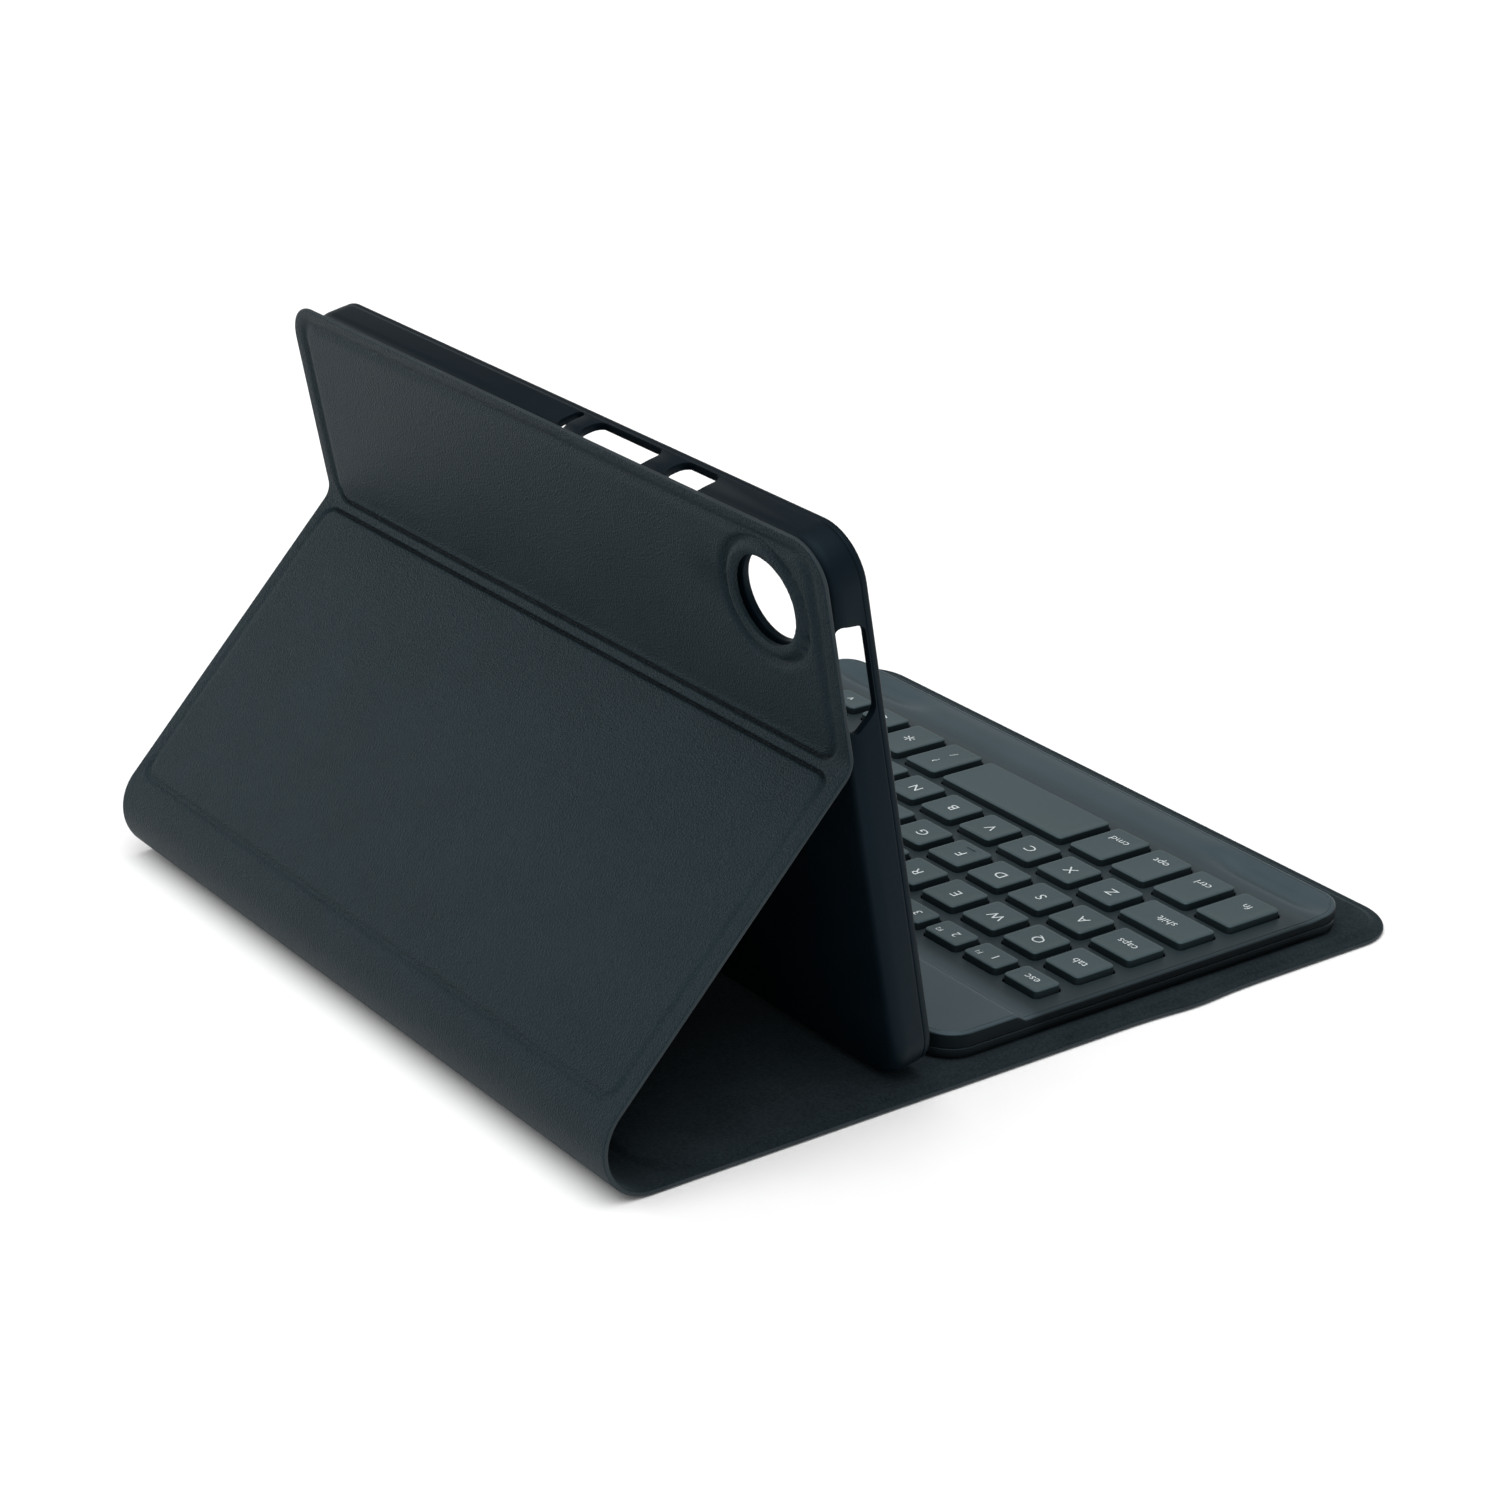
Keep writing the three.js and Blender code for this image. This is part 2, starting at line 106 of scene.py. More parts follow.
# ---- keyboard ----
KB_HALF_W = 101.0
KB_Y = (-108.7, 24.25)
FRONT_RISE = 1.5
KB_R = 9.0
KB_BOTTOM = 2.5
KB_SPLIT = 5.2
KB_DECK = 7.6
KB_BAR = 9.2
KB_WALL = 1.5
BAR_FROM, BAR_RUN = -1.4, 3.6  # slope up to the bar, in y
FRONT_FROM, FRONT_RUN = -94.5, 11.0
SCOOP_X, SCOOP_HALF_W, SCOOP_IN, SCOOP_REACH, SCOOP_DEPTH = 79.0, 19.0, 6.6, 3.1, 2.3
RIM_R = 0.75
RIM_LINE, RIM_LINE_W, RIM_LINE_DEPTH = 1.25, 0.16, 0.22
KEY_BOTTOM = 5.85
KEY_TOP = 9.4
KEY_R = 1.2
KEY_CLEAR = 0.35
KEY_EDGE = 94.2
LETTER_W = 12.2
LETTER_PITCH = 15.4


# ---- mesh helpers ----
def make_object(name, verts, faces, materials, face_materials=None, smooth=True):
    """A mesh object from vertices in millimetres."""
    mesh = bpy.data.meshes.new(name)
    mesh.from_pydata([tuple(float(c) * MM for c in v) for v in verts], [], [tuple(f) for f in faces])
    for material in materials:
        mesh.materials.append(material)
    if face_materials is not None:
        mesh.polygons.foreach_set("material_index", np.array(face_materials, np.int32))
    mesh.polygons.foreach_set("use_smooth", np.full(len(mesh.polygons), smooth))
    mesh.update()
    obj = bpy.data.objects.new(name, mesh)
    bpy.context.scene.collection.objects.link(obj)
    return obj


def fix_normals(obj):
    work = bmesh.new()
    work.from_mesh(obj.data)
    bmesh.ops.recalc_face_normals(work, faces=work.faces)
    work.to_mesh(obj.data)
    work.free()


def apply_modifiers(obj):
    """Bake the object's modifiers into its mesh."""
    graph = bpy.context.evaluated_depsgraph_get()
    graph.update()
    baked = bpy.data.meshes.new_from_object(obj.evaluated_get(graph))
    obj.modifiers.clear()
    old = obj.data
    obj.data = baked
    bpy.data.meshes.remove(old)
    baked.name = obj.name


def cut_with(obj, cutter):
    """Subtract cutter from obj, and delete the cutter."""
    modifier = obj.modifiers.new("cut", "BOOLEAN")
    modifier.operation = "DIFFERENCE"
    modifier.solver = "EXACT"
    modifier.object = cutter
    apply_modifiers(obj)
    bpy.data.objects.remove(cutter)


def soften(obj, width, segments, angle):
    """Round the edges that are sharper than the angle."""
    bevel = obj.modifiers.new("bevel", "BEVEL")
    bevel.width = width * MM
    bevel.segments = segments
    bevel.limit_method = "ANGLE"
    bevel.angle_limit = math.radians(angle)
    bevel.harden_normals = False
    apply_modifiers(obj)


def sharp_by_angle(obj, angle):
    obj.data.set_sharp_from_angle(angle=math.radians(angle))


def rounded_rect(x0, y0, x1, y1, r, steps):
    """Points round a rectangle with round corners, counter-clockwise."""
    points = []
    centres = ((x1 - r, y0 + r), (x1 - r, y1 - r), (x0 + r, y1 - r), (x0 + r, y0 + r))
    for (cx, cy), turn in zip(centres, (-90, 0, 90, 180)):
        for i in range(steps + 1):
            a = math.radians(turn + 90 * i / steps)
            points.append((cx + r * math.cos(a), cy + r * math.sin(a)))
    return points


def loft(rings):
    """Vertices and faces of a closed skin through rings of equal length."""
    verts = [v for ring in rings for v in ring]
    n = len(rings[0])
    faces = []
    for k in range(len(rings) - 1):
        for i in range(n):
            j = (i + 1) % n
            faces.append((k * n + i, k * n + j, (k + 1) * n + j, (k + 1) * n + i))
    faces.append(tuple(range(n - 1, -1, -1)))
    faces.append(tuple(range((len(rings) - 1) * n, len(rings) * n)))
    return verts, faces


def ease(t):
    t = np.clip(t, 0, 1)
    return t * t * (3 - 2 * t)


# ---- materials ----
WHITE = (1, 1, 1, 1)
COOL = (0.55, 0.82, 1.0, 1)  # the grey-green plastics and leather reflect a little blue


def new_material(name, tint=COOL):
    material = bpy.data.materials.new(name)
    material.use_nodes = True
    nodes = material.node_tree.nodes
    shader = nodes["Principled BSDF"]
    shader.inputs["Specular Tint"].default_value = tint
    return material, nodes, material.node_tree.links, shader


def colour_ramp(nodes, links, source, low, high, start=0.3, end=0.7):
    ramp = nodes.new("ShaderNodeValToRGB")
    ramp.color_ramp.elements[0].position = start
    ramp.color_ramp.elements[1].position = end
    ramp.color_ramp.elements[0].color = (*low, 1)
    ramp.color_ramp.elements[1].color = (*high, 1)
    links.new(source, ramp.inputs["Fac"])
    return ramp.outputs["Color"]


def noise(nodes, links, coord, scale, detail, rough=0.55):
    node = nodes.new("ShaderNodeTexNoise")
    node.inputs["Scale"].default_value = scale
    node.inputs["Detail"].default_value = detail
    node.inputs["Roughness"].default_value = rough
    links.new(coord, node.inputs["Vector"])
    return node.outputs["Fac"]


def spread(nodes, links, source, low, high, from_low=0.3, from_high=0.7):
    node = nodes.new("ShaderNodeMapRange")
    node.inputs["From Min"].default_value = from_low
    node.inputs["From Max"].default_value = from_high
    node.inputs["To Min"].default_value = low
    node.inputs["To Max"].default_value = high
    links.new(source, node.inputs["Value"])
    return node.outputs["Result"]


def add_up(nodes, links, a, b, share):
    node = nodes.new("ShaderNodeMath")
    node.operation = "MULTIPLY_ADD"
    node.inputs[1].default_value = share
    links.new(b, node.inputs[0])
    links.new(a, node.inputs[2])
    return node.outputs[0]


def bump(nodes, links, shader, height, strength, distance):
    node = nodes.new("ShaderNodeBump")
    node.inputs["Strength"].default_value = strength
    node.inputs["Distance"].default_value = distance
    links.new(height, node.inputs["Height"])
    links.new(node.outputs["Normal"], shader.inputs["Normal"])


def leather(name="leather", low=(0.0035, 0.0080, 0.0100), high=(0.0115, 0.0195, 0.0235)):
    """Fine pressed grain: small rounded pebbles with fine creases, and a soft satin sheen."""
    material, nodes, links, shader = new_material(name)
    coord = nodes.new("ShaderNodeTexCoord").outputs["Object"]
    pebbles = nodes.new("ShaderNodeTexVoronoi")
    pebbles.feature = "SMOOTH_F1"
    pebbles.inputs["Scale"].default_value = 2200
    pebbles.inputs["Smoothness"].default_value = 0.35
    links.new(coord, pebbles.inputs["Vector"])
    fine = noise(nodes, links, coord, 3400, 2)
    broad = noise(nodes, links, coord, 55, 4)
    speckle = add_up(nodes, links, fine, broad, 0.3)
    links.new(colour_ramp(nodes, links, speckle, low, high, 0.5, 0.82), shader.inputs["Base Color"])
    links.new(spread(nodes, links, speckle, 0.50, 0.62, 0.45, 0.85), shader.inputs["Roughness"])
    height = add_up(nodes, links, pebbles.outputs["Distance"], fine, 0.5)
    bump(nodes, links, shader, height, 0.75, 0.0003)
    shader.inputs["Specular IOR Level"].default_value = 0.16
    return material


def microfibre():
    """Short brushed nap with tiny light and dark flecks."""
    material, nodes, links, shader = new_material("microfibre")
    coord = nodes.new("ShaderNodeTexCoord").outputs["Object"]
    nap = noise(nodes, links, coord, 1500, 4, 0.7)
    cloud = noise(nodes, links, coord, 70, 3)
    mixed = add_up(nodes, links, nap, cloud, 0.35)
    links.new(
        colour_ramp(nodes, links, mixed, (0.0022, 0.0040, 0.0052), (0.019, 0.026, 0.029), 0.45, 0.95),
        shader.inputs["Base Color"])
    shader.inputs["Roughness"].default_value = 0.95
    shader.inputs["Sheen Weight"].default_value = 0.12
    shader.inputs["Sheen Roughness"].default_value = 0.45
    shader.inputs["Sheen Tint"].default_value = (0.42, 0.58, 0.66, 1)
    shader.inputs["Specular IOR Level"].default_value = 0.2
    bump(nodes, links, shader, nap, 0.5, 0.00022)
    return material


def moulded(name, low, high, roughness, grain, strength, specular=0.45, tint=COOL):
    """Moulded plastic or rubber with a spark-eroded texture and faint flow clouding."""
    material, nodes, links, shader = new_material(name, tint)
    coord = nodes.new("ShaderNodeTexCoord").outputs["Object"]
    fine = noise(nodes, links, coord, grain, 3, 0.6)
    cloud = noise(nodes, links, coord, 38, 3)
    links.new(colour_ramp(nodes, links, cloud, low, high), shader.inputs["Base Color"])
    worn = add_up(nodes, links, cloud, fine, 0.6)
    links.new(
        spread(nodes, links, worn, roughness - 0.05, roughness + 0.06, 0.5, 1.0),
        shader.inputs["Roughness"])
    shader.inputs["Specular IOR Level"].default_value = specular
    bump(nodes, links, shader, fine, strength, 0.00007)
    return material


def paint_key_field_and_wall_shade(material, field_shade, wall_shade):
    """Paint shade into a keyboard case half: the sunken key field darker, where the keys shade it, and the
    side walls darker the less they face up, with their reflection dimmed too.

    Each fades in between two places in metres, or between two tilts of the surface.
    """
    nodes, links = material.node_tree.nodes, material.node_tree.links
    shader = nodes["Principled BSDF"]
    place = nodes.new("ShaderNodeTexCoord")
    split = nodes.new("ShaderNodeSeparateXYZ")
    links.new(place.outputs["Object"], split.inputs[0])
    facing = nodes.new("ShaderNodeSeparateXYZ")
    links.new(place.outputs["Normal"], facing.inputs[0])
    field_back, field_front = (-0.0065, -0.0015), (-0.100, -0.091)
    # painted shade: the key field, from the front strip back to the bar's slope, is darkened
    behind = spread(nodes, links, split.outputs["Y"], field_shade, 1.0, *field_back)
    before = spread(nodes, links, split.outputs["Y"], 1.0 - field_shade, 0.0, *field_front)
    field = add_up(nodes, links, behind, before, 1.0)
    # painted shade: the less a face points up, the darker its colour and the weaker its reflection
    wall = spread(nodes, links, facing.outputs["Z"], wall_shade, 1.0, 0.35, 0.85)
    both = nodes.new("ShaderNodeMath")
    both.operation = "MULTIPLY"
    links.new(field, both.inputs[0])
    links.new(wall, both.inputs[1])
    scaled = nodes.new("ShaderNodeVectorMath")
    scaled.operation = "SCALE"
    links.new(shader.inputs["Base Color"].links[0].from_socket, scaled.inputs[0])
    links.new(both.outputs[0], scaled.inputs["Scale"])
    links.new(scaled.outputs[0], shader.inputs["Base Color"])
    shine = nodes.new("ShaderNodeMath")
    shine.operation = "MULTIPLY"
    shine.inputs[1].default_value = shader.inputs["Specular IOR Level"].default_value
    links.new(wall, shine.inputs[0])
    links.new(shine.outputs[0], shader.inputs["Specular IOR Level"])


def metal(name, colour, roughness):
    """Rolled sheet with fine streaks along X."""
    material, nodes, links, shader = new_material(name, WHITE)
    coord = nodes.new("ShaderNodeTexCoord").outputs["Object"]
    stretch = nodes.new("ShaderNodeMapping")
    stretch.inputs["Scale"].default_value = (60, 1800, 1800)
    links.new(coord, stretch.inputs["Vector"])
    streaks = noise(nodes, links, stretch.outputs["Vector"], 1, 3)
    shade = tuple(0.75 * c for c in colour)
    links.new(colour_ramp(nodes, links, streaks, shade, colour), shader.inputs["Base Color"])
    links.new(spread(nodes, links, streaks, roughness, roughness + 0.15), shader.inputs["Roughness"])
    shader.inputs["Metallic"].default_value = 1
    bump(nodes, links, shader, streaks, 0.1, 0.00005)
    return material


LEATHER = leather()
# the same leather, darkened: painted shade for the bottoms of the crease's grooves
PAINTED_FOLD_SHADE = leather("leather_fold_painted_shade", (0.002, 0.003, 0.0035), (0.004, 0.0055, 0.006))
CUT_EDGE = moulded("cut_edge", (0.013, 0.018, 0.020), (0.027, 0.033, 0.036), 0.6, 3000, 0.4, 0.25)
LINING = microfibre()
TRAY = moulded("tray_rubber", (0.0012, 0.0040, 0.0066), (0.0022, 0.0056, 0.0088), 0.48, 3200, 0.10, 0.13)
CASE = moulded("case_plastic", (0.036, 0.053, 0.060), (0.042, 0.060, 0.068), 0.42, 2600, 0.22, 0.42)
# painted shade: the key field falls to 0.40 and the side walls to 0.13 of the case colour
paint_key_field_and_wall_shade(CASE, field_shade=0.40, wall_shade=0.13)
# a darker copy of the key plastic: painted shade on the keys' sides; the port's tongue uses it as its own
# black plastic
BLACK_PLASTIC_AND_KEY_SIDE_SHADE = moulded("black_plastic_and_key_side_shade", (0.007, 0.0120, 0.0135), (0.009, 0.0145, 0.0160), 0.5, 2600, 0.12, 0.25)
KEY_FACE = moulded("key_face", (0.039, 0.058, 0.063), (0.045, 0.065, 0.071), 0.44, 2400, 0.22, 0.42)
LEGEND = moulded("legend_ink", (0.52, 0.56, 0.57), (0.62, 0.66, 0.67), 0.6, 3000, 0.05)
FLOOR = moulded("floor_paper", (0.93, 0.93, 0.93), (0.95, 0.95, 0.95), 0.85, 900, 0.02, 0.2, WHITE)
STEEL = metal("sheet_steel", (0.55, 0.56, 0.57), 0.3)
BOARD = moulded("grey_board", (0.20, 0.185, 0.15), (0.27, 0.25, 0.21), 0.85, 900, 0.5, 0.2)
FILM = moulded("dome_rubber", (0.010, 0.012, 0.013), (0.016, 0.018, 0.020), 0.6, 1800, 0.2, 0.3)
CELL = moulded("cell_wrap", (0.16, 0.17, 0.18), (0.22, 0.23, 0.24), 0.4, 700, 0.3)
CIRCUIT = moulded("solder_mask", (0.006, 0.05, 0.022), (0.010, 0.075, 0.034), 0.35, 1200, 0.2)
LENS = moulded("light_lens", (0.5, 0.58, 0.62), (0.6, 0.68, 0.72), 0.12, 2000, 0.02, 0.6)


# ---- the cover: one sheet along a path from the front edge, round the spine, to the top edge ----
def heading(tilt):
    a = math.radians(tilt)
    return np.array((math.cos(a), math.sin(a)))


def left_of(d):
    return np.array((-d[1], d[0]))


BEND_LEN = SPINE_R * math.radians(LOWER_TILT)
HALF_CREASE = math.radians(LOWER_TILT - UPPER_TILT) / 2
CREASE_TRIM = CREASE_R * math.tan(HALF_CREASE)
CREASE_ARC = 2 * CREASE_R * HALF_CREASE
S_BEND = SPINE_Y - BASE_FRONT
S_LOWER = S_BEND + BEND_LEN
S_FOLD = S_LOWER + LOWER_LEN - CREASE_TRIM  # start of the crease's small curve
S_CREASE = S_FOLD + CREASE_ARC / 2
S_UPPER = S_FOLD + CREASE_ARC
S_TOP = S_UPPER + UPPER_LEN - CREASE_TRIM
S_HOLE = S_UPPER - CREASE_TRIM + HOLE_S
BEND_CENTRE = np.array((SPINE_Y, SPINE_R))
LOWER_START = BEND_CENTRE + SPINE_R * -left_of(heading(LOWER_TILT))
CREASE_POINT = LOWER_START + LOWER_LEN * heading(LOWER_TILT)


def path_point(s):
    """Place [y, z] of the outside face at s, and the direction in from it."""
    if s <= S_BEND:
        return np.array((BASE_FRONT + s, 0.0)), np.array((0.0, 1.0))
    if s <= S_LOWER:
        inward = left_of(heading(math.degrees((s - S_BEND) / SPINE_R)))
        return BEND_CENTRE - SPINE_R * inward, inward
    lower = heading(LOWER_TILT)
    if s <= S_FOLD:
        return LOWER_START + (s - S_LOWER) * lower, left_of(lower)
    upper = heading(UPPER_TILT)
    if s <= S_UPPER:
        centre = CREASE_POINT - CREASE_TRIM * lower - CREASE_R * left_of(lower)
        inward = left_of(heading(LOWER_TILT - math.degrees((s - S_FOLD) / CREASE_R)))
        return centre + CREASE_R * inward, inward
    return CREASE_POINT + (CREASE_TRIM + s - S_UPPER) * upper, left_of(upper)


def rect_distance(x, s, s0, s1, inset, r):
    """Signed distance from a round-cornered board, positive outside it."""
    half_w = COVER_W / 2 - inset
    dx = np.abs(x) - (half_w - r)
    ds = np.abs(s - (s0 + s1) / 2) - ((s1 - s0) / 2 - r)
    outside = np.hypot(np.maximum(dx, 0), np.maximum(ds, 0))
    return outside + np.minimum(np.maximum(dx, ds), 0) - r


def board_distance(x, s):
    """Distance from the outline of the nearest pressed panel, negative inside it."""
    base = rect_distance(x, s, PANEL_INSET, S_BEND - PANEL_INSET, PANEL_INSET, 10.0)
    lower = rect_distance(
        x, s, S_LOWER + GROOVE_AFTER_SPINE, S_CREASE - GROOVE_BEFORE_CREASE, PANEL_INSET, 3.0)
    upper = rect_distance(x, s, S_CREASE + 0.2, S_TOP - 4.6, 5.6, 4.5)
    ring = RING_R - np.hypot(x - HOLE_X, s - S_HOLE)
    return np.minimum(np.minimum(base, lower), np.maximum(upper, ring))


def half_width(s):
    """Half the cover's width at s, with its round corners."""
    for end, r in ((s, FRONT_CORNER_R), (S_TOP - s, TOP_CORNER_R)):
        if end < r:
            return COVER_W / 2 - r + math.sqrt(max(r ** 2 - (r - end) ** 2, 0))
    return COVER_W / 2


def edge_distance(x, s):
    """How far a point lies inside the cover's outline."""
    r = np.where(s < S_TOP / 2, FRONT_CORNER_R, TOP_CORNER_R)
    dx = np.abs(x) - (COVER_W / 2 - r)
    ds = np.abs(s - S_TOP / 2) - (S_TOP / 2 - r)
    outside = np.hypot(np.maximum(dx, 0), np.maximum(ds, 0))
    return r - outside - np.minimum(np.maximum(dx, ds), 0)


def relief(x, s):
    """Depth of the outside and inside faces below the outside line."""
    d = board_distance(x, s)
    at_crease = np.exp(-(((s - S_CREASE + 1.8) / 3.4) ** 4))
    from_hole = np.hypot(x - HOLE_X, s - S_HOLE)
    ring = np.exp(-(((from_hole - RING_R) / RING_REACH) ** 2))
    on_upper = ease((s - S_CREASE) / 6.0)
    lower_sides = ease((s - S_LOWER - 4.0) / 6.0) * ease((S_CREASE - 7.0 - s) / 4.0)
    depth = GROOVE_DEPTH + 0.54 * at_crease + (0.20 + 0.5 * ring) * on_upper
    depth = depth * (1 - 0.6 * lower_sides)
    width = GROOVE_W - 0.56 * at_crease + (0.40 - 0.42 * ring) * on_upper
    board = ease((1.0 - d) / 2.0)
    puff = 0.05 * np.sin(x / 17.0 + 0.8) * np.sin(s / 13.0) + 0.035 * np.sin(x / 7.3 - s / 9.1)
    groove = depth * np.exp(-(((d - GROOVE_AT) / width) ** 2))
    outer = 0.14 * (1 - board) + groove + 0.06 + puff * board
    outer -= BEAD_RISE * np.exp(-(((from_hole - BEAD_R) / BEAD_REACH) ** 2))
    inner = THIN + (THICK - THIN) * ease((3.0 - d) / 2.2)
    rim = np.clip(1 - edge_distance(x, s) / EDGE_R, 0, 1)
    hole_rim = np.clip(1 - (from_hole - HOLE_R) / 0.9, 0, 1) * 0.8
    rim = np.maximum(rim, hole_rim)
    turn = 1 - np.sqrt(np.maximum(1 - rim ** 2, 0))
    return outer + (EDGE_MID - outer) * turn, inner + (EDGE_MID - inner) * turn


def in_fold(x, s):
    """Whether a point lies at the bottom of one of the crease's two pressed grooves, where shade is painted
    into the leather.
    """
    near = np.abs(board_distance(x, s) - GROOVE_AT) < 0.26
    return near & (np.abs(s - S_CREASE + 1.85) < 2.4) & (np.abs(x) < COVER_W / 2 - 6)


def from_edge():
    """Distances from an edge of the cover at which the grid has a line."""
    return np.concatenate(([0, 0.07, 0.18, 0.34, 0.6, 1.0], np.arange(1.4, 8.6, 0.4), [9.6, 11.0, 13.0]))


def grid_columns():
    """Grid lines across the cover as (side, inset): a side line keeps its distance to the edge."""
    edge = from_edge()
    inner = COVER_W / 2 - edge[-1]
    middle = list(np.arange(-inner, -69, 0.6)) + list(np.linspace(-68.4, inner, 13))
    return edge, np.array(middle[1:-1])


def grid_rows(s0, s1, marks, fine, coarse):
    """Values of s from s0 to s1, close together near each mark (place, reach)."""
    rows = [s0]
    while rows[-1] < s1 - 1e-6:
        near = min([max(abs(rows[-1] - place) - reach, 0) for place, reach in marks] + [99])
        rows.append(min(rows[-1] + fine + min(near * 0.5, coarse), s1))
    return rows


def cover_piece(name, rows, first_closed=False, last_closed=False):
    """The cover between two values of s: outside leather, inside lining and the cut edge."""
    edge, middle = grid_columns()
    table = []
    for s in rows:
        w = half_width(s)
        scale = (w - edge[-1]) / (COVER_W / 2 - edge[-1])
        table.append(np.concatenate((-w + edge, middle * scale, (w - edge)[::-1])))
    xs = np.array(table)
    ss = np.repeat(np.array(rows)[:, None], xs.shape[1], axis=1)
    outer, inner = relief(xs, ss)
    n_rows, n_cols = xs.shape
    verts, out_id, in_id = [], np.zeros(xs.shape, int), np.zeros(xs.shape, int)
    for i, s in enumerate(rows):
        place, inward = path_point(s)
        for j in range(n_cols):
            x = xs[i, j]
            x -= BULGE * math.exp(-(((s - BULGE_S) / BULGE_REACH) ** 2)) * float(ease((-x - 88) / 18))
            closed = j in (0, n_cols - 1) or (i == 0 and first_closed) or (i == n_rows - 1 and last_closed)
            depths = (EDGE_MID,) if closed else (outer[i, j], inner[i, j])
            ids = []
            for h in depths:
                ids.append(len(verts))
                verts.append((x, *(place + inward * h)))
            out_id[i, j], in_id[i, j] = ids[0], ids[-1]
    gap = edge_distance(xs, ss)
    middle_x = xs[:-1, :-1] + np.diff(xs[:-1], axis=1) / 2
    middle_s = ss[:-1, :-1] + np.diff(ss, axis=0)[:, :-1] / 2
    folded = in_fold(middle_x, middle_s)
    faces, slots = [], []
    for i in range(n_rows - 1):
        for j in range(n_cols - 1):
            rim = max(gap[i, j], gap[i + 1, j], gap[i, j + 1], gap[i + 1, j + 1]) < 0.2
            for ids, skin in ((out_id, 0), (in_id, 1)):
                quad = [ids[i, j], ids[i + 1, j], ids[i + 1, j + 1], ids[i, j + 1]]
                faces.append(quad if skin == 0 else quad[::-1])
                # slot 3, the darker leather, is painted shade in the crease's groove bottoms
                deep = skin == 0 and folded[i, j]
                slots.append(2 if rim else 3 if deep else skin)
    return make_object(name, verts, faces, (LEATHER, LINING, CUT_EDGE, PAINTED_FOLD_SHADE), slots)


def build_board(name, s0, s1, inset, r, body, node):
    """Stiff grey board between leather and lining, with its sharp edges sanded."""
    rings = []
    for h, shrink in ((1.0, 0.12), (1.1, 0), (1.45, 0), (1.55, 0.12)):
        half = COVER_W / 2 - inset - shrink
        ring = []
        for x, s in rounded_rect(-half, s0 + shrink, half, s1 - shrink, r, 8):
            place, inward = path_point(s)
            ring.append((x, *(place + inward * h)))
        rings.append(ring)
    verts, faces = loft(rings)
    board = make_object(name, verts, faces, (BOARD,))
    fix_normals(board)
    if node == "upper_board":
        cut_with(board, cylinder_on_panel("board_cutter", HOLE_X, HOLE_S, RING_R + 1, -3, 6))
    sharp_by_angle(board, 40)
    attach(board, body)
    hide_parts(node)


def cap_open_end(obj):
    """Close the piece's open end with one face, so that a boolean can cut it."""
    work = bmesh.new()
    work.from_mesh(obj.data)
    rim = [e for e in work.edges if e.is_boundary]
    bmesh.ops.contextual_create(work, geom=rim)
    work.to_mesh(obj.data)
    work.free()


def uncap(obj, s):
    """Take off the face that cap_open_end made at s."""
    work = bmesh.new()
    work.from_mesh(obj.data)
    place, _ = path_point(s)
    along = heading(UPPER_TILT)
    ends = [
        f for f in work.faces
        if all(abs((v.co.y / MM - place[0]) * along[0] + (v.co.z / MM - place[1]) * along[1]) < 1e-3
               for v in f.verts)]
    bmesh.ops.delete(work, geom=ends, context="FACES_ONLY")
    work.to_mesh(obj.data)
    work.free()


def panel_matrix():
    """From panel places (x, s from the crease, depth) to the frame, in millimetres."""
    along, inward = heading(UPPER_TILT), left_of(heading(UPPER_TILT))
    return Matrix((
        (1, 0, 0, 0),
        (0, along[0], inward[0], CREASE_POINT[0]),
        (0, along[1], inward[1], CREASE_POINT[1]),
        (0, 0, 0, 1)))


def on_panel(points):
    turn = panel_matrix()
    return [tuple(turn @ Vector(p)) for p in points]


def cylinder_on_panel(name, x, s, r, h0, h1):
    """A round cutter through the upper panel, from depth h0 to h1."""
    sides = 96
    turns = [2 * math.pi * i / sides for i in range(sides)]
    rings = [[(x + r * math.cos(a), s + r * math.sin(a), h) for a in turns] for h in (h0, h1)]
    verts, faces = loft([on_panel(ring) for ring in rings])
    return make_object(name, verts, faces, (LEATHER,))


